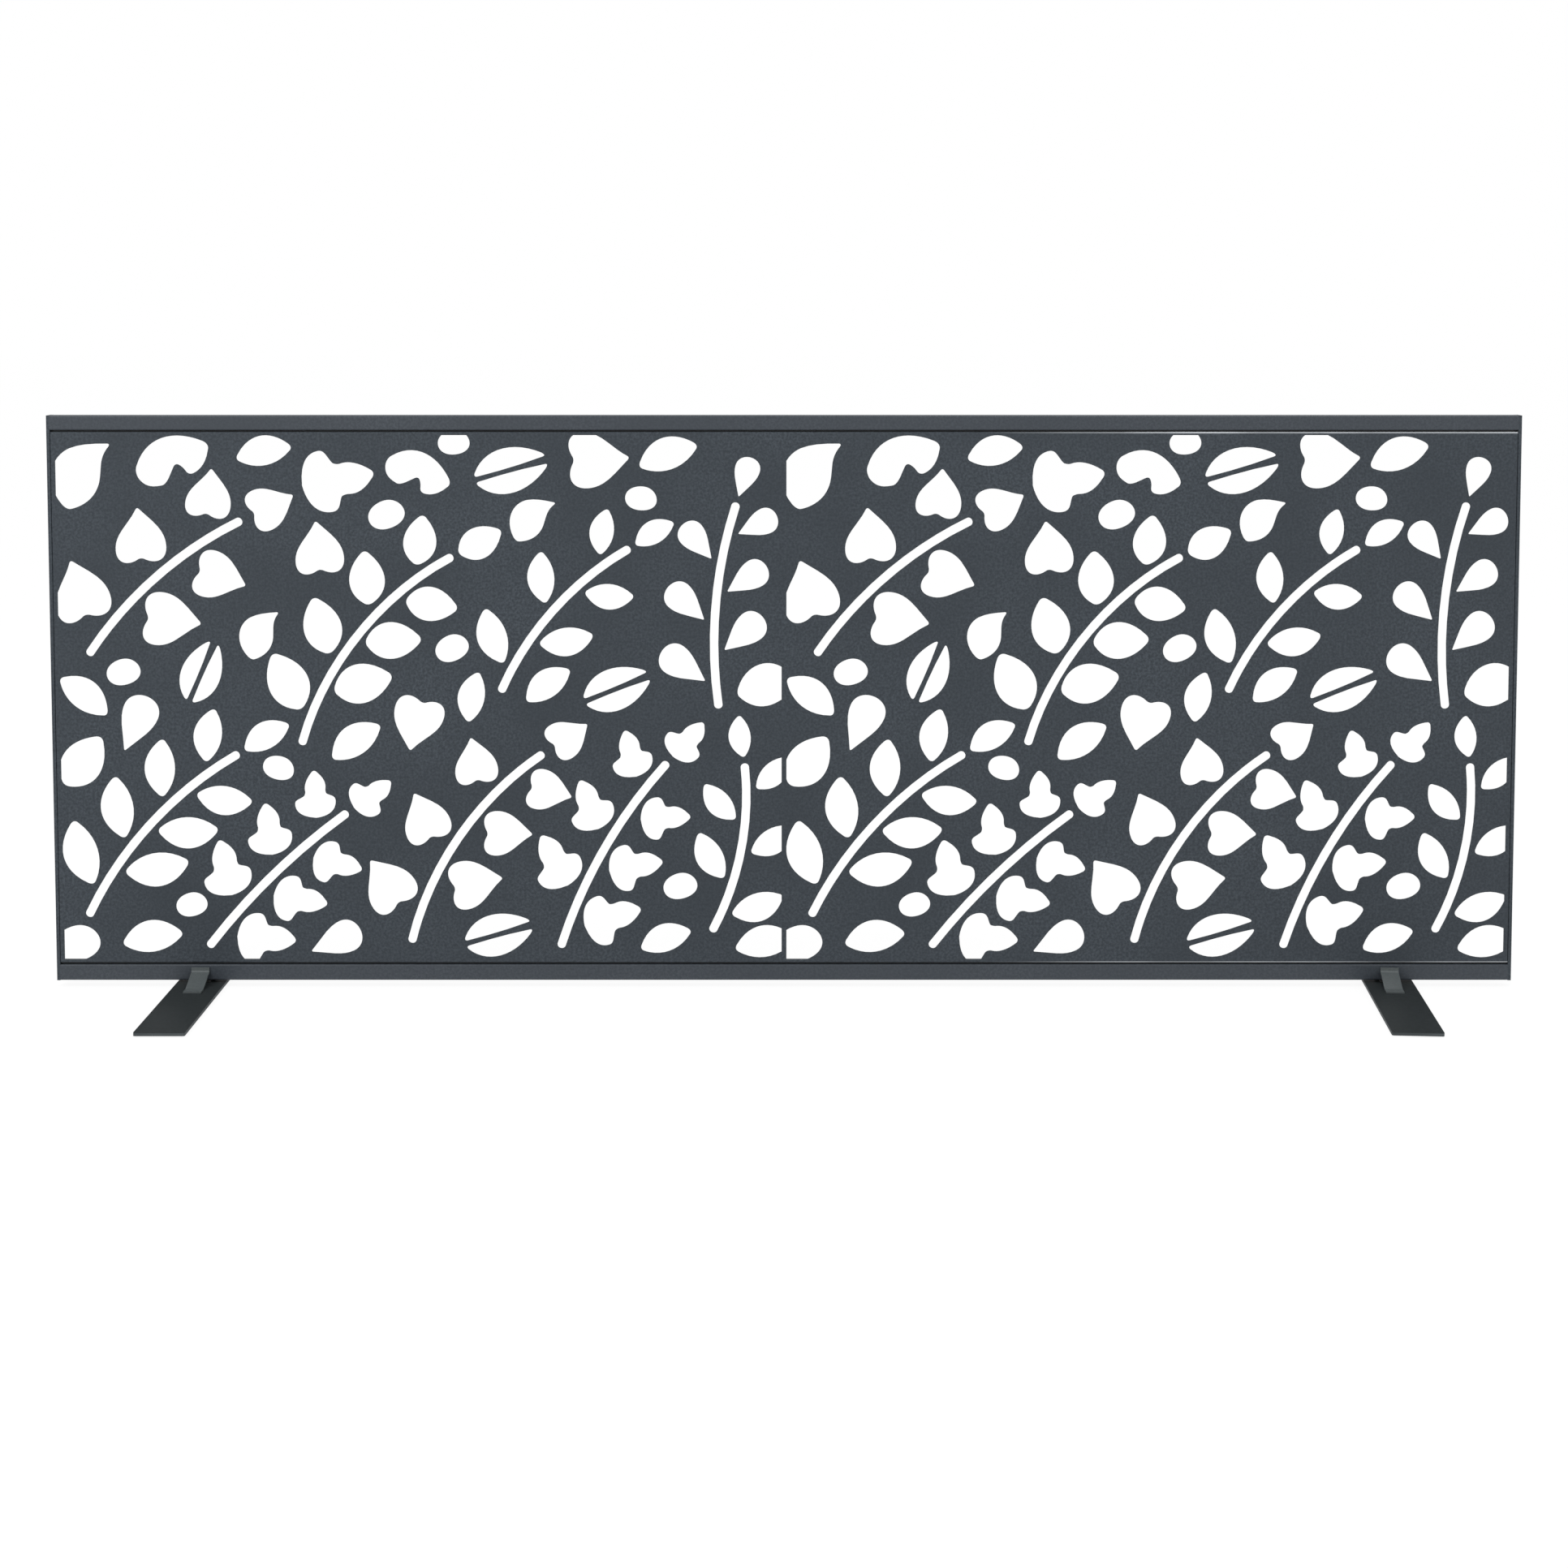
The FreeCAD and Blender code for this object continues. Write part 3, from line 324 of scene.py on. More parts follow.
# Lacquered aluminium of the blind rivets: paint over metal, smoother than powder.
RIVET_LACQUER = Finish("lacquered_aluminium", "#474C53", "#545960", 1.5, 0.02, 10.0, 0.05, 0.42)
# Extruded aluminium as it leaves the die: pale metal with fine lines along its length.
MILL_ALUMINIUM = Finish("mill_finish_aluminium", "#B9BBBC", "#D0D2D3", 1.0, 0.03, 20.0, 0.06, 0.38,
                        metallic=1.0, stretch=(0.05, 1.0, 1.0))
# Extruded EPDM of the sealing strips: black, satin, with faint lines along its length from the die.
STRIP_RUBBER = Finish("extruded_rubber", "#101112", "#1C1D1E", 0.8, 0.02, 40.0, 0.05, 0.62,
                      stretch=(0.05, 1.0, 1.0))
# Cut EPDM rubber of the pads: deep black, dry, with dust in its pores.
PAD_RUBBER = Finish("cut_rubber", "#131313", "#2A2A29", 1.2, 0.06, 25.0, 0.06, 0.78)


# Mesh making
# Points nearer than the first merge, edges shorter than the second go, and edges that turn more are sharp.
MERGED_MM = 0.002
SLIVER_MM = 0.0001
SHARP_ANGLE = math.radians(35)
# Faces that lean less than the first angle apart are one flat, and edges that turn more than the other are
# broken, in so many steps.
FLAT_ANGLE = math.radians(0.5)
ARRIS_ANGLE = math.radians(40)
ARRIS_STEPS = 2
# Decimals of a millimetre to which points count as the same, and to which the points of a rim are sorted.
SAME_DECIMALS = 3
SORTED_DECIMALS = 2


def grid_faces(rows: int, columns: int) -> np.ndarray:
    """Quads of a grid that is closed around its columns.

    Args:
        rows: Number of rings.
        columns: Points in each ring.

    Returns:
        Corner numbers, four a face.
    """
    row, column = np.arange(rows - 1)[:, None], np.arange(columns)[None, :]
    beside = (column + 1) % columns
    corners = (row * columns + column, row * columns + beside,
               (row + 1) * columns + beside, (row + 1) * columns + column)
    return np.stack(np.broadcast_arrays(*corners), axis=-1).reshape(-1, 4)


def copies(shape: Shape, places: list) -> Shape:
    """Repeat a shape at several places.

    Args:
        shape: Points and faces of one copy.
        places: One move for each copy.

    Returns:
        Points and faces of all copies together.
    """
    points, faces = shape
    moves = np.array(places, dtype=float)
    many = (points[None] + moves[:, None]).reshape(-1, 3)
    numbers = faces[None] + len(points) * np.arange(len(moves))[:, None, None]
    return many, numbers.reshape(-1, faces.shape[1])


def add_object(name: str, mesh: bpy.types.Mesh) -> bpy.types.Object:
    """Put a mesh into the scene as a smooth-shaded object at the origin.

    Args:
        name: Object name.
        mesh: Its mesh.

    Returns:
        The new object.
    """
    mesh.polygons.foreach_set("use_smooth", np.ones(len(mesh.polygons), dtype=bool))
    piece = bpy.data.objects.new(name, mesh)
    bpy.context.scene.collection.objects.link(piece)
    return piece


def make_piece(name: str, points: np.ndarray, faces: np.ndarray) -> bpy.types.Object:
    """Make a closed object from points in millimetres.

    Args:
        name: Object and mesh name.
        points: Points, three numbers each.
        faces: Corner numbers, three or four a face.

    Returns:
        The new object, merged, with its faces outwards and its sharp edges marked.
    """
    mesh = bpy.data.meshes.new(name)
    mesh.from_pydata((points * MM).tolist(), [], faces.tolist())
    shell = bmesh.new()
    shell.from_mesh(mesh)
    bmesh.ops.remove_doubles(shell, verts=shell.verts, dist=MERGED_MM * MM)
    bmesh.ops.dissolve_degenerate(shell, edges=shell.edges, dist=SLIVER_MM * MM)
    bmesh.ops.recalc_face_normals(shell, faces=shell.faces)
    shell.to_mesh(mesh)
    shell.free()
    piece = add_object(name, mesh)
    mesh.set_sharp_from_angle(angle=SHARP_ANGLE)
    return piece


def solid_points(source: bpy.types.Object) -> tuple[np.ndarray, np.ndarray, np.ndarray]:
    """Read a solid's triangles with its doubled points merged.

    Args:
        source: Object of a solid.

    Returns:
        Points in millimetres, triangles, and the normal at each triangle's corners.
    """
    mesh = source.data
    flat, shading = np.empty(len(mesh.vertices) * 3), np.empty(len(mesh.loops) * 3)
    mesh.vertices.foreach_get("co", flat)
    mesh.corner_normals.foreach_get("vector", shading)
    mesh.calc_loop_triangles()
    corners, loops = (np.empty(len(mesh.loop_triangles) * 3, dtype=np.int32) for _ in range(2))
    mesh.loop_triangles.foreach_get("vertices", corners)
    mesh.loop_triangles.foreach_get("loops", loops)
    points = flat.reshape(-1, 3) / MM
    same = np.round(points, SAME_DECIMALS)
    _, first, number = np.unique(same, axis=0, return_index=True, return_inverse=True)
    triangles = number.reshape(-1)[corners].reshape(-1, 3)
    whole = (triangles != np.roll(triangles, 1, axis=1)).all(axis=1)
    return points[first], triangles[whole], shading.reshape(-1, 3)[loops].reshape(-1, 3, 3)[whole]


def arris_copy(frame: dict, node: str, width_mm: float) -> bpy.types.Object:
    """Copy a solid with its edges broken, as sanding and paint leave them.

    Args:
        frame: The loaded frame.
        node: Node to copy.
        width_mm: Width of the broken edge.

    Returns:
        The copy.
    """
    points, triangles, _ = solid_points(frame["nodes"][node])
    piece = make_piece(f"{node}_finished", points, triangles)
    shell = bmesh.new()
    shell.from_mesh(piece.data)
    bmesh.ops.dissolve_limit(shell, angle_limit=FLAT_ANGLE, verts=shell.verts, edges=shell.edges)
    shell.to_mesh(piece.data)
    shell.free()
    bevel = piece.modifiers.new("arris", "BEVEL")
    bevel.width = width_mm * MM
    bevel.segments = ARRIS_STEPS
    bevel.limit_method = "ANGLE"
    bevel.angle_limit = ARRIS_ANGLE
    bevel.harden_normals = True
    return piece


def box_mm(node: str) -> Pair:
    """Lowest and highest corner of a solid's box in millimetres."""
    low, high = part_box(node)
    return np.array(low) / MM, np.array(high) / MM


def dress(piece: bpy.types.Object, body: str, finish: Finish, slot: str, *nodes: str) -> None:
    """Give a piece its finish, the body it rides on and the solids it stands for.

    Args:
        piece: The piece.
        body: Name of its body.
        finish: Its finish.
        slot: Material slot of the record; not used.
        nodes: Nodes that it replaces.
    """
    piece.data.materials.clear()
    piece.data.materials.append(finish.material())
    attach(piece, body)
    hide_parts(*nodes)
    LOG.info("%s: %d faces on %s", piece.name, len(piece.data.polygons), body)


def paint(frame: dict, node: str, finish: Finish) -> None:
    """Give a solid that stays as it is its finish.

    Args:
        frame: The loaded frame.
        node: The node.
        finish: Its finish.
    """
    solid = frame["nodes"][node]
    solid.data.materials.clear()
    solid.data.materials.append(finish.material())
    LOG.info("%s: kept with %s", node, finish.name)


# Shapes by formula
def quarter_round(radius: float, steps: int = 3) -> Pair:
    """Quarter circle from an end face to a side: how far in, and how far along, at each step."""
    turn = np.radians(np.linspace(0, 90, steps + 1))
    return radius * (1 - np.sin(turn)), radius * (1 - np.cos(turn))


def slab(size: tuple[float, float, float], corner: float, arris: float, steps: int = 5) -> Shape:
    """Flat pad or strip that stands on z = 0.

    Each ring is a rounded rectangle. A point is the centre of its corner's circle plus that circle's radius
    in the point's direction. Where a ring is drawn in, the radius shrinks first, then the centres move in.

    Args:
        size: Width, depth and thickness.
        corner: Corner radius seen from above.
        arris: Radius of the broken edges.
        steps: Steps around each corner.

    Returns:
        Points and faces.
    """
    half_x, half_y, height = size[0] / 2, size[1] / 2, size[2]
    inwards, along = quarter_round(arris)
    whole = max(half_x, half_y)
    inset = np.concatenate([[whole], inwards, inwards[::-1], [whole]])[:, None]
    level = np.concatenate([[0], along, height - along[::-1], [height]])[:, None]
    turn = np.radians((np.arange(4)[:, None] * 90 + np.linspace(0, 90, steps + 1)).ravel())
    quarter = np.repeat(np.arange(4), steps + 1)
    sign_x, sign_y = np.array([1, -1, -1, 1])[quarter], np.array([1, 1, -1, -1])[quarter]
    drawn, radius = np.maximum(inset, corner), np.maximum(corner - inset, 0)
    x = sign_x * np.maximum(half_x - drawn, 0) + radius * np.cos(turn)
    y = sign_y * np.maximum(half_y - drawn, 0) + radius * np.sin(turn)
    points = np.stack([x, y, np.broadcast_to(level, x.shape)], axis=-1)
    return points.reshape(-1, 3), grid_faces(*x.shape)


def turned(rings: list, hexagons: int = 0, steps: int = 24) -> Shape:
    """Solid of revolution about its own Z, whose first rings may be hexagons instead of circles.

    A ring's point lies at r in its direction, or at r / cos(d) on a hexagon, where d is the angle from the
    middle of the nearest flat.

    Args:
        rings: Radius and height of each ring.
        hexagons: How many of the first rings are hexagons.
        steps: Points around, a multiple of six.

    Returns:
        Points and faces.
    """
    radius, height = np.array(rings, dtype=float).T[:, :, None]
    turn = np.arange(steps)[None, :] * math.tau / steps
    flat = 1 / np.cos((turn + math.pi / 6) % (math.pi / 3) - math.pi / 6)
    hexagon = np.arange(len(rings))[:, None] < hexagons
    reach = radius * np.where(hexagon, flat, 1.0)
    levels = np.broadcast_to(height, reach.shape)
    points = np.stack([reach * np.cos(turn), reach * np.sin(turn), levels], axis=-1)
    return points.reshape(-1, 3), grid_faces(len(rings), steps)


def pointed(shape: Shape, way: Way) -> Shape:
    """Turn a shape from its own +Z to another direction.

    Args:
        shape: Points about the shape's own Z, and faces.
        way: The new direction.

    Returns:
        The turned points, and the faces.
    """
    points, faces = shape
    x, y, z = points.T
    ways = {Way.PLUS_X: (z, y, -x), Way.MINUS_X: (-z, y, x), Way.UP: (x, y, z), Way.DOWN: (x, -y, -z)}
    return np.stack(ways[way], axis=-1), faces


# Fasteners
# How far a flush face stays below its surface, and how deep the cone in a socket's floor is.
FLUSH = 0.02
SOCKET_CONE = 0.1


@dataclass(frozen=True)
class SocketScrew:
    """Countersunk screw with a hexagon socket, its face flush at height 0 and its shank below.

    Attributes:
        socket: Half the width across the socket's flats.
        socket_depth: Depth of the socket's walls.
        mouth: Width and depth of the broken edge around the socket.
        head: Radius of the head, whose cone meets the shank at 45 degrees.
        brim: Width and depth of the broken edge around the head.
        shank: Radius of the shank.
        length: Whole length.
        tip: Chamfer at the tip.
        steps: Points around, a multiple of six.
    """

    socket: float
    socket_depth: float
    mouth: tuple[float, float]
    head: float
    brim: tuple[float, float]
    shank: float
    length: float
    tip: float
    steps: int = 24

    def shape(self) -> Shape:
        """Turn the screw: hexagons for the socket from its floor upwards, then circles to the tip.

        Returns:
            Points and faces.
        """
        socket = [(0, -self.socket_depth - SOCKET_CONE), (self.socket, -self.socket_depth),
                  (self.socket, -self.mouth[1]), (self.socket + self.mouth[0], -FLUSH)]
        head = [(self.head - self.brim[0], -FLUSH), (self.head, -self.brim[1])]
        shank = [(self.shank, self.shank - self.head), (self.shank, self.tip - self.length),
                 (self.shank - self.tip, -self.length), (0, -self.length)]
        return turned(socket + head + shank, len(socket), self.steps)


@dataclass(frozen=True)
class BlindRivet:
    """Blind rivet whose head has a mandrel's pit. The lists hold radius and height of its rings.

    Attributes:
        head: Rings from the middle of the pit over the head to the shank, with the seat or face at height 0.
        formed: Rings of the formed end from the shank to the axis, with the gripped parts' far face at 0.
        shank: Radius of the shank.
    """

    head: tuple[tuple[float, float], ...]
    formed: tuple[tuple[float, float], ...]
    shank: float = 2.0

    def shape(self, grip: float) -> Shape:
        """Turn the rivet for what it holds.

        Args:
            grip: Thickness of the gripped parts.

        Returns:
            Points and faces.
        """
        formed = [(radius, height - grip) for radius, height in self.formed]
        return turned([*self.head, (self.shank, -grip), *formed])


FRAME_SCREW = SocketScrew(socket=1.5, socket_depth=1.6, mouth=(0.2, 0.15), head=4.8, brim=(0.3, 0.12),
                          shank=2.5, length=18.0, tip=0.6, steps=36)
TOE_SCREW = SocketScrew(socket=1.0, socket_depth=1.1, mouth=(0.15, 0.1), head=3.0, brim=(0.2, 0.1),
                        shank=1.5, length=5.6, tip=0.4)
# A low dome for the hidden rivets in the grooves, and a countersunk head for those in the side bars.
DOMED_RIVET = BlindRivet(
    head=((0, 0.7), (0.9, 0.7), (1.1, 1.35), (2.0, 1.4), (3.2, 1.0), (3.9, 0.5), (4.2, 0.12), (4.1, 0),
          (2.0, 0)),
    formed=((2.9, -0.1), (3.2, -0.9), (2.8, -2.1), (1.6, -2.5), (0, -2.4)))
FLUSH_RIVET = BlindRivet(
    head=((0, -0.9), (0.9, -0.9), (1.1, -0.1), (1.4, -FLUSH), (3.95, -FLUSH), (4.2, -0.12), (2.0, -2.2)),
    formed=((2.9, -0.05), (3.2, -0.4), (3.0, -1.1), (2.2, -1.4), (0, -1.4)))


# The sheet with rounded rims
@dataclass
class RimmedSheet:
    """The cut-out sheet rebuilt with rounded rims, as deburring and a thick powder leave them.

    The triangles of its two faces and of its bends are kept, and the straight walls of the cut-outs are left
    out. Each rim point draws back into the metal along the miter of its two edges, and rings close the gap.
    At the angle t of the quarter circle a ring lies r(1 - sin t) within the metal and r(1 - cos t) below the
    face.

    Attributes:
        wall: Thickness of the sheet.
        bend: Outer radius of its bends, which no cut-out reaches.
        rim: Radius r of the rims.
        sharpest: Least value that a miter is divided by, so that a tip isn't drawn back too far.
        turns: Angles t of the rings in degrees, from the face to the wall.
        margin: Room beside the bends in which no rim is looked for.
        flatness: How far a point of a face may lie off the face's level.
        tries: How often a rim that turns a triangle over is drawn back less.
    """

    wall: float
    bend: float
    rim: float = 0.3
    sharpest: float = 0.6
    turns: tuple[float, ...] = (0.0, 45.0, 90.0)
    margin: float = 0.05
    flatness: float = 0.01
    tries: int = 8

    def build(self, source: bpy.types.Object, name: str) -> bpy.types.Object:
        """Make the sheet.

        Args:
            source: Object of the sheet's solid.
            name: Name of the new object.

        Returns:
            The new object, with the solid's own shading on what was kept.
        """
        points, triangles, normals = solid_points(source)
        flat = points[:, [0, 2]]
        edge = self.bend + self.margin
        within = ((flat > flat.min(axis=0) + edge) & (flat < flat.max(axis=0) - edge)).all(axis=1)
        levels = points[:, 1].min() + np.array((0, self.wall))
        front, back = ((np.abs(points[triangles][:, :, 1] - level) < self.flatness).all(axis=1)
                       for level in levels)
        kept = front | back | ~within[triangles].all(axis=1)
        rim, following = self.loops(flat, triangles[front], within)
        back_rim, _ = self.loops(flat, triangles[back], within)
        miter, out = self.directions(flat[rim], following)
        pull = self.untangled(flat, triangles[front], rim, miter)
        rings, leans = self.rings((points[rim], points[back_rim]), pull, out)
        points[rim], points[back_rim] = rings[0], rings[-1]
        added = [len(points) + len(rim) * n + np.arange(len(rim)) for n in range(len(rings) - 2)]
        walls, tilts = self.walls([rim, *added, back_rim], leans, following)
        mesh = bpy.data.meshes.new(name)
        mesh.from_pydata((np.concatenate([points, *rings[1:-1]]) * MM).tolist(), [],
                         np.concatenate([triangles[kept], walls]).tolist())
        piece = add_object(name, mesh)
        mesh.normals_split_custom_set(np.concatenate([normals[kept], tilts]).reshape(-1, 3).tolist())
        return piece

    @staticmethod
    def loops(flat: np.ndarray, triangles: np.ndarray, within: np.ndarray) -> Pair:
        """Find the rim of the cut-outs in one face.

        A rim edge belongs to one triangle only and lies inside the face's outline. Seen from outside, it has
        the metal on its left.

        Args:
            flat: X and Z of the sheet's points.
            triangles: The face's triangles.
            within: For each point, whether it lies inside the outline.

        Returns:
            The rim's points, sorted by place, and for each the place in that order of the one that follows.
        """
        edges = np.concatenate([triangles[:, [0, 1]], triangles[:, [1, 2]], triangles[:, [2, 0]]])
        key = np.sort(edges, axis=1) @ np.array([len(flat), 1])
        _, number, uses = np.unique(key, return_inverse=True, return_counts=True)
        edges = edges[(uses[number.reshape(-1)] == 1) & within[edges].all(axis=1)]
        rim = edges[:, 0][np.lexsort(np.round(flat[edges[:, 0]], SORTED_DECIMALS).T)]
        place = np.zeros(len(flat), dtype=int)
        place[rim] = np.arange(len(rim))
        following = np.zeros(len(rim), dtype=int)
        following[place[edges[:, 0]]] = place[edges[:, 1]]
        return rim, following

    def directions(self, flat: np.ndarray, following: np.ndarray) -> Pair:
        """Miter and outward direction at each rim point.

        The miter is the sum of the normals of the point's two edges over one plus their product.

        Args:
            flat: X and Z of the rim's points.
            following: The point that follows each.

        Returns:
            Move into the metal for a radius of 1, and unit direction out of it.
        """
        way = flat[following] - flat
        way /= np.linalg.norm(way, axis=1, keepdims=True)
        inward = np.stack([-way[:, 1], way[:, 0]], axis=-1)
        before = inward[np.argsort(following)]
        both = inward + before
        product = (inward * before).sum(axis=1, keepdims=True)
        out = -both / np.linalg.norm(both, axis=1, keepdims=True)
        return both / np.maximum(1 + product, self.sharpest), out

    def untangled(self, flat: np.ndarray, triangles: np.ndarray, rim: np.ndarray,
                  miter: np.ndarray) -> np.ndarray:
        """Draw the rim back, half as far at each try where a triangle of the face would turn over.

        Args:
            flat: X and Z of the sheet's points.
            triangles: Triangles of one face.
            rim: Numbers of the rim's points.
            miter: Move of each rim point for a radius of 1.

        Returns:
            The move of each rim point along X and Z.
        """
        pull = miter * self.rim
        for _ in range(self.tries):
            moved = flat.copy()
            moved[rim] += pull
            first = moved[triangles[:, 0]]
            one, other = moved[triangles[:, 1]] - first, moved[triangles[:, 2]] - first
            turned_over = one[:, 0] * other[:, 1] <= one[:, 1] * other[:, 0]
            LOG.info("rims: %d triangles of the face turned over", int(turned_over.sum()))
            if not turned_over.any():
                break
            over = np.zeros(len(flat), dtype=bool)
            over[triangles[turned_over]] = True
            pull[over[rim]] *= 0.5
        return pull

    def rings(self, ends: Pair, pull: np.ndarray, out: np.ndarray) -> tuple[list, list]:
        """Rings from the front face over the wall to the back face.

        Args:
            ends: The rim's points in front and behind, as the solid has them.
            pull: Move of each into the metal along X and Z.
            out: Direction out of the metal along X and Z.

        Returns:
            Points of the rings, and their normals.
        """
        turn = np.radians(self.turns)
        inwards, across = np.zeros((len(pull), 3)), np.zeros((len(pull), 3))
        inwards[:, [0, 2]], across[:, [0, 2]] = pull, out
        points, leans = [], []
        for end, facing, order in ((ends[0], -1, turn), (ends[1], 1, turn[::-1])):
            ahead = np.array((0, facing, 0))
            for t in order:
                points.append(end + inwards * (1 - math.sin(t)) - ahead * self.rim * (1 - math.cos(t)))
                leans.append(across * math.sin(t) + ahead * math.cos(t))
        return points, leans

    @staticmethod
    def walls(numbers: list, leans: list, following: np.ndarray) -> Shape:
        """Triangles between the rings, two for each rim edge and step.

        Args:
            numbers: Numbers of each ring's points.
            leans: Normals of each ring's points.
            following: The point that follows each in its ring.

        Returns:
            Triangles, and the normals at their corners.
        """
        faces, tilts = [], []
        for upper, lower, tilt, tilt_below in zip(numbers, numbers[1:], leans, leans[1:]):
            quad = np.stack([upper[following], upper, lower, lower[following]], axis=1)
            lean = np.stack([tilt[following], tilt, tilt_below, tilt_below[following]], axis=1)
            for corners in ([0, 1, 2], [0, 2, 3]):
                faces.append(quad[:, corners])
                tilts.append(lean[:, corners])
        return np.concatenate(faces), np.concatenate(tilts)


# The panel
@dataclass
class Panel:
    """Sheet, rails, side bars, strips and rivets: everything that rides on the body of the panel.

    Attributes:
        wall: Thickness of the sheet and of the rails' walls.
        bend: Outer radius of the sheet's bends.
        arris: Width of the side bars' broken edges.
        strip_corner: Corner radius of the sealing strips.
        strip_arris: Radius of their softened edges.
        rivets_per_rail: Rivets along each rail.
        rivets_per_side: Rivets up each side bar.
        rail_rivet_inset: From the sheet's end to its first rivet along a rail.
        side_rivet_inset: From the sheet's lower edge to its first rivet up a side.
        highlight_along: Where along X the painted highlight on the front bends starts, and where it is full.
    """

    wall: float = 1.5
    bend: float = 2.0
    arris: float = 0.5
    strip_corner: float = 0.5
    strip_arris: float = 0.4
    rivets_per_rail: int = 5
    rivets_per_side: int = 4
    rail_rivet_inset: float = 110.0
    side_rivet_inset: float = 70.0
    highlight_along: tuple[float, float] = (240.0, 460.0)

    def build(self, frame: dict) -> None:
        """Build and dress every piece of the panel.

        Args:
            frame: The loaded frame.
        """
        solid = frame["nodes"]["screen_sheet"]
        sheet = RimmedSheet(self.wall, self.bend).build(solid, "screen_sheet_finished")
        dress(sheet, "panel", self.sheet_coat(), "sheet_coat", "screen_sheet")
        for end in End:
            paint(frame, f"{end.value}_rail", RAIL_COAT)
            paint(frame, f"{end.value}_rail_plugs", MILL_ALUMINIUM)
            self.strip(end)
            self.rail_rivets(end)
        for side in Side:
            bar = arris_copy(frame, f"{side.value}_side_bar", self.arris)
            dress(bar, "panel", BAR_COAT, "rail_coat", f"{side.value}_side_bar")
            self.frame_screws(side)
            self.side_rivets(side)

    def sheet_coat(self) -> Finish:
        """The sheet's coat, with a pale highlight painted on the front of its upper and lower bend.

        Returns:
            The finish with its painted highlight.
        """
        low, high = box_mm("screen_sheet")
        levels = (low[2] + self.bend, high[2] - self.bend)
        # Painted highlight: a pale shade on the front of both bends, setting in along the panel.
        return replace(SHEET_COAT, painted_light=PaintedLight(PAINTED_HIGHLIGHT_SHADE, levels, low[1] + self.bend, self.highlight_along))

    def strip(self, end: End) -> None:
        """Sealing strip that closes one groove, with softened edges.

        Args:
            end: The rail beside the groove.
        """
        low, high = box_mm(f"{end.value}_strip")
        points, faces = slab(tuple(high - low), self.strip_corner, self.strip_arris)
        piece = make_piece(f"{end.value}_sealing_strip", points + (*(low + high)[:2] / 2, low[2]), faces)
        dress(piece, "panel", STRIP_RUBBER, "spacer", f"{end.value}_strip")

    def rail_rivets(self, end: End) -> None:
        """Blind rivets through flange, strip and rail: low dome with a mandrel pit, shank, formed end.

        Args:
            end: The rail that they hold.
        """
        low, high = box_mm("screen_sheet")
        strip_low, strip_high = box_mm(f"{end.value}_strip")
        grip = self.wall + (strip_high - strip_low)[2] + self.wall
        way, seat = (Way.DOWN, high[2] - self.wall) if end is End.TOP else (Way.UP, low[2] + self.wall)
        along = np.linspace(low[0] + self.rail_rivet_inset, high[0] - self.rail_rivet_inset,
                            self.rivets_per_rail)
        middle = (strip_low + strip_high)[1] / 2
        shape = copies(pointed(DOMED_RIVET.shape(grip), way), [(x, middle, seat) for x in along])
        piece = make_piece(f"{end.value}_blind_rivets", *shape)
        dress(piece, "panel", RIVET_LACQUER, "rivet", f"{end.value}_rivets")

    @staticmethod
    def outside(side: Side) -> tuple[Way, float]:
        """Direction out of the panel at one side, and where its bar ends."""
        low, high = box_mm(f"{side.value}_side_bar")
        return (Way.MINUS_X, low[0]) if side is Side.LEFT else (Way.PLUS_X, high[0])

    def frame_screws(self, side: Side) -> None:
        """Countersunk screws with a hexagon socket, flush with one side bar.

        Args:
            side: The bar's side.
        """
        way, x = self.outside(side)
        middles = [sum(box_mm(f"{end.value}_rail")) / 2 for end in End]
        shape = copies(pointed(FRAME_SCREW.shape(), way), [(x, *middle[1:]) for middle in middles])
        piece = make_piece(f"{side.value}_socket_screws", *shape)
        dress(piece, "panel", BLACK_ZINC, "fastener", f"{side.value}_frame_screws")

    def side_rivets(self, side: Side) -> None:
        """Countersunk rivets through a side bar: flush head with a mandrel pit, disc inside the sheet.

        Args:
            side: The bar's side.
        """
        way, x = self.outside(side)
        low, high = box_mm("screen_sheet")
        levels = np.linspace(low[2] + self.side_rivet_inset, high[2] - self.side_rivet_inset,
                             self.rivets_per_side)
        middle = sum(box_mm("bottom_strip"))[1] / 2
        bar_low, bar_high = box_mm(f"{side.value}_side_bar")
        rivet = FLUSH_RIVET.shape((bar_high - bar_low)[0] + self.wall)
        shape = copies(pointed(rivet, way), [(x, middle, level) for level in levels])
        piece = make_piece(f"{side.value}_flush_rivets", *shape)
        dress(piece, "panel", RIVET_LACQUER, "rivet", f"{side.value}_rivets")


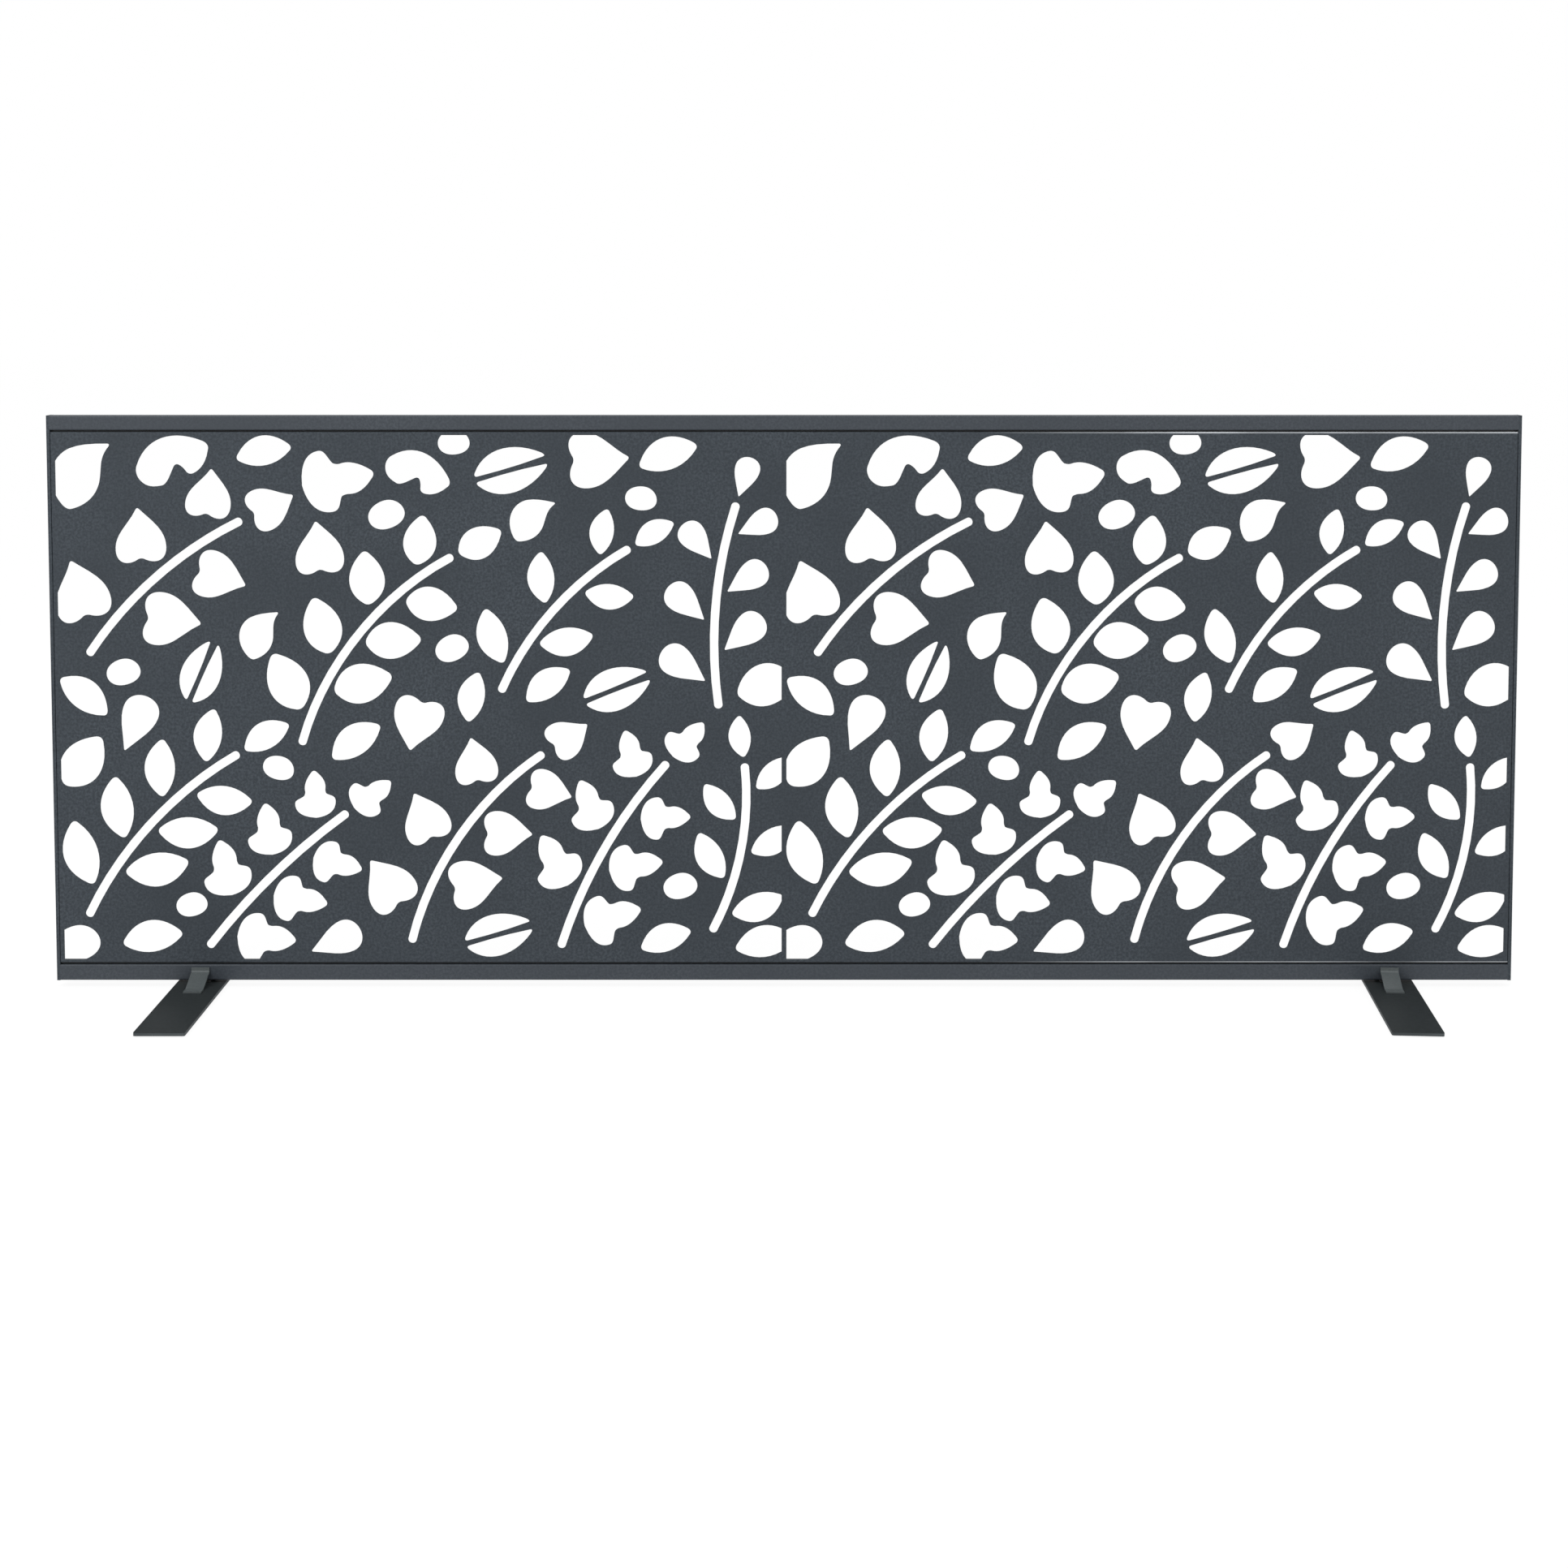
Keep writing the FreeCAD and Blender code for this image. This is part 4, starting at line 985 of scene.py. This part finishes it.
# The feet
@dataclass
class Foot:
    """One flat foot with its clips, pads and screws, turned a little about the middle of its seat pad.

    Attributes:
        side: End of the panel that it stands under.
        turn: Its turn about the upright axis in degrees.
        front: Reach of the plate in front of the axis.
        rear: Reach of the plate behind it.
        plate_arris: Width of the plate's broken edges.
        clip_arris: Width of the clips' broken edges.
        sheared: Depth below the plate's face where the sheared edges, and their painted light, begin.
        floor_pad: Width and depth of a floor pad.
        floor_pad_corner: Its corner radius.
        floor_pad_arris: Radius of its softened edges.
        floor_pad_margin: From the plate's end to its floor pad.
        seat_pad: Width and depth of the seat pad.
        seat_pad_corner: Its corner radius.
        seat_pad_arris: Radius of its softened edges.
        screw_spacing: Between the two screws of one clip.
    """

    side: Side
    turn: float = 0.0
    front: float = 225.0
    rear: float = 90.0
    plate_arris: float = 0.5
    clip_arris: float = 0.35
    sheared: float = 0.2
    floor_pad: tuple[float, float] = (44.0, 20.0)
    floor_pad_corner: float = 3.0
    floor_pad_arris: float = 0.4
    floor_pad_margin: float = 8.0
    seat_pad: tuple[float, float] = (22.0, 20.0)
    seat_pad_corner: float = 1.2
    seat_pad_arris: float = 0.5
    screw_spacing: float = 12.0

    @property
    def body(self) -> str:
        """The body that the foot's pieces ride on."""
        return f"{self.side.value}_foot"

    def build(self, frame: dict) -> None:
        """Build and dress every piece of the foot.

        Args:
            frame: The loaded frame.
        """
        self.plate(frame)
        for face in Face:
            node = f"{self.side.value}_{face.value}_clip"
            dress(arris_copy(frame, node, self.clip_arris), self.body, CLIP_COAT, "foot_coat", node)
        self.seat()
        self.floor_pads()
        self.clip_screws()

    def plate(self, frame: dict) -> None:
        """Plate with broken edges, and with a lighter shade painted on its sheared edges below the face.

        Args:
            frame: The loaded frame.
        """
        node = f"{self.side.value}_base_plate"
        # Painted light: a paler shade on the upright edges below the plate's face.
        edges = PaintedLight(PAINTED_EDGE_LIGHT_SHADE, (box_mm(node)[1][2] - self.sheared, FAR))
        plate = arris_copy(frame, node, self.plate_arris)
        dress(plate, self.body, replace(FOOT_COAT, painted_light=edges), "foot_coat", node)

    def placed(self, points: np.ndarray, level: float) -> np.ndarray:
        """Turn points about the foot's axis and put them at its place.

        Args:
            points: Points about the axis.
            level: Height to lift them to.

        Returns:
            The moved points.
        """
        middle = sum(box_mm(f"{self.side.value}_seat_pad")) / 2
        c, s = math.cos(math.radians(self.turn)), math.sin(math.radians(self.turn))
        return points @ np.array([[c, s, 0], [-s, c, 0], [0, 0, 1]]) + (*middle[:2], level)

    def seat(self) -> None:
        """Pad between plate and rail, with rounded edges."""
        node = f"{self.side.value}_seat_pad"
        low, high = box_mm(node)
        size = (*self.seat_pad, high[2] - low[2])
        points, faces = slab(size, self.seat_pad_corner, self.seat_pad_arris)
        piece = make_piece(f"{self.side.value}_rail_seat", self.placed(points, low[2]), faces)
        dress(piece, self.body, PAD_RUBBER, "pad_rubber", node)

    def floor_pads(self) -> None:
        """Pads under the plate's ends, with rounded corners."""
        node = f"{self.side.value}_floor_pads"
        low, high = box_mm(node)
        inset = self.floor_pad_margin + self.floor_pad[1] / 2
        size = (*self.floor_pad, high[2] - low[2])
        pad = slab(size, self.floor_pad_corner, self.floor_pad_arris)
        points, faces = copies(pad, [(0, inset - self.front, 0), (0, self.rear - inset, 0)])
        piece = make_piece(f"{self.side.value}_glide_pads", self.placed(points, low[2]), faces)
        dress(piece, self.body, PAD_RUBBER, "pad_rubber", node)

    def clip_screws(self) -> None:
        """Countersunk socket screws from below into the clips' toes.

        Half the depth of the screws' box is R cos(turn) + S/2 sin(turn) + H for a reach R from the axis, a
        spacing S and a head of radius H, which gives R.
        """
        node = f"{self.side.value}_clip_screws"
        low, high = box_mm(node)
        half, turn = self.screw_spacing / 2, math.radians(abs(self.turn))
        reach = ((high - low)[1] / 2 - TOE_SCREW.head - half * math.sin(turn)) / math.cos(turn)
        places = [(x, y, 0) for x in (-half, half) for y in (-reach, reach)]
        points, faces = copies(pointed(TOE_SCREW.shape(), Way.DOWN), places)
        piece = make_piece(f"{self.side.value}_toe_screws", self.placed(points, low[2]), faces)
        dress(piece, self.body, BLACK_ZINC, "fastener", node)


# The studio
@dataclass(frozen=True)
class Softbox:
    """A rectangular lamp.

    Attributes:
        name: Its name.
        place: Where it hangs.
        size: Its width and height.
        watts: Its power.
    """

    name: str
    place: tuple[float, float, float]
    size: tuple[float, float]
    watts: float


@dataclass
class Studio:
    """Pale floor, white backdrop, soft lamps and the camera. Lengths here are metres.

    Attributes:
        eye: Camera place.
        look_down: Camera's tilt below level in degrees.
        sensor: Width of its sensor in millimetres.
        lens: Its focal length in millimetres.
        rise: Vertical shift, as the photograph's upright lines ask.
        fill: Strength of the world's even light.
        floor_reach: Reach of the floor each way.
        floor_coat: Colour of the floor as an sRGB hex code.
        floor_glow: Share of plain white in the floor, as the camera and mirrors see it.
        floor_white: Strength of that white, which makes up for the rest of the floor.
        aim: Point that the lamps face.
        lamps: The lamps.
    """

    eye: tuple[float, float, float] = (0.0, -3.0544, 0.8592)
    look_down: float = 4.004
    sensor: float = 36.0
    lens: float = 58.653
    rise: float = -0.2
    fill: float = 0.72
    floor_reach: float = 30.0
    floor_coat: str = "#F4F4F4"
    floor_glow: float = 0.85
    floor_white: float = 1.06
    aim: tuple[float, float, float] = (0.0, 0.0, 0.35)
    lamps: tuple[Softbox, ...] = (
        Softbox("key_softbox", (-2.1, -2.0, 1.9), (1.4, 1.2), 26.0),
        Softbox("side_softbox", (2.8, -1.6, 0.9), (1.0, 1.4), 9.0),
        Softbox("top_softbox", (-1.3, -0.7, 2.2), (1.0, 0.5), 4.0),
        Softbox("strip_light", (0.75, -0.35, 2.1), (1.3, 0.12), 8.0))

    def build(self) -> None:
        """Set up world, floor, lamps and camera."""
        self.world()
        self.floor()
        for softbox in self.lamps:
            self.lamp(softbox)
        self.camera()
        bpy.context.scene.view_settings.view_transform = "Standard"

    @staticmethod
    def shown(tree: bpy.types.NodeTree) -> bpy.types.NodeSocket:
        """Socket that is 1 for what the camera sees straight, in a mirror or through glass.

        Args:
            tree: Node tree that needs it.

        Returns:
            The socket.
        """
        ray = add_node(tree, "ShaderNodeLightPath")
        seen = add_node(tree, "ShaderNodeMath", {
            0: ray.outputs["Is Camera Ray"], 1: ray.outputs["Is Transmission Ray"]}, operation="MAXIMUM")
        return add_node(tree, "ShaderNodeMath", {
            0: seen.outputs[0], 1: ray.outputs["Is Glossy Ray"]}, operation="MAXIMUM").outputs[0]

    def world(self) -> None:
        """White behind the object for camera, mirror and glass rays, and an even grey fill for the rest."""
        world = bpy.data.worlds.new("studio")
        bpy.context.scene.world = world
        world.use_nodes = True
        tree = world.node_tree
        tree.nodes.clear()
        strength = add_node(tree, "ShaderNodeMapRange", {
            "Value": self.shown(tree), "To Min": self.fill, "To Max": 1.0})
        sky = add_node(tree, "ShaderNodeBackground", {"Color": (1, 1, 1, 1), "Strength": strength.outputs[0]})
        add_node(tree, "ShaderNodeOutputWorld", {"Surface": sky.outputs[0]})

    def floor(self) -> None:
        """Pale painted floor, brightened towards white for the camera, that keeps a light shadow."""
        mesh = bpy.data.meshes.new("studio_floor")
        quarters = ((-1, -1), (1, -1), (1, 1), (-1, 1))
        corners = [(x * self.floor_reach, y * self.floor_reach, 0) for x, y in quarters]
        mesh.from_pydata(corners, [], [(0, 1, 2, 3)])
        floor = add_object("studio_floor", mesh)
        floor_paint = bpy.data.materials.new("matt_white_floor_paint")
        floor_paint.use_nodes = True
        tree = floor_paint.node_tree
        tree.nodes.clear()
        glow = add_node(tree, "ShaderNodeEmission", {
            "Color": (1, 1, 1, 1), "Strength": self.floor_white})
        coat = add_node(tree, "ShaderNodeBsdfDiffuse", {"Color": srgb(self.floor_coat)})
        share = add_node(tree, "ShaderNodeMath", {
            0: self.shown(tree), 1: self.floor_glow}, operation="MULTIPLY")
        mixed = add_node(tree, "ShaderNodeMixShader", {
            0: share.outputs[0], 1: coat.outputs[0], 2: glow.outputs[0]})
        add_node(tree, "ShaderNodeOutputMaterial", {"Surface": mixed.outputs[0]})
        mesh.materials.append(floor_paint)

    def lamp(self, softbox: Softbox) -> None:
        """Hang one lamp so that it faces the aim.

        Args:
            softbox: The lamp.
        """
        light = bpy.data.lights.new(softbox.name, "AREA")
        light.shape = "RECTANGLE"
        light.size, light.size_y = softbox.size
        light.energy = softbox.watts
        lamp = bpy.data.objects.new(softbox.name, light)
        lamp.location = softbox.place
        x, y, z = np.array(self.aim) - np.array(softbox.place)
        lamp.rotation_euler = (math.atan2(math.hypot(x, y), -z), 0, math.atan2(-x, y))
        bpy.context.scene.collection.objects.link(lamp)

    def camera(self) -> None:
        """Camera at the photograph's angle."""
        data = bpy.data.cameras.new("camera")
        data.sensor_width = self.sensor
        data.lens = self.lens
        data.shift_y = self.rise
        eye = bpy.data.objects.new("camera", data)
        eye.location = self.eye
        eye.rotation_euler = (math.radians(90 - self.look_down), 0, 0)
        bpy.context.scene.collection.objects.link(eye)
        bpy.context.scene.camera = eye


# The right foot's turn about its upright axis in degrees, as its solids have it.
RIGHT_FOOT_TURN = -4.4


def main() -> None:
    """Load the frame, and build and dress everything."""
    logging.basicConfig(level=logging.INFO, format="%(name)s: %(message)s")
    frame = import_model()
    Panel().build(frame)
    Foot(Side.LEFT).build(frame)
    Foot(Side.RIGHT, RIGHT_FOOT_TURN).build(frame)
    Studio().build()


if __name__ == "__main__":
    main()
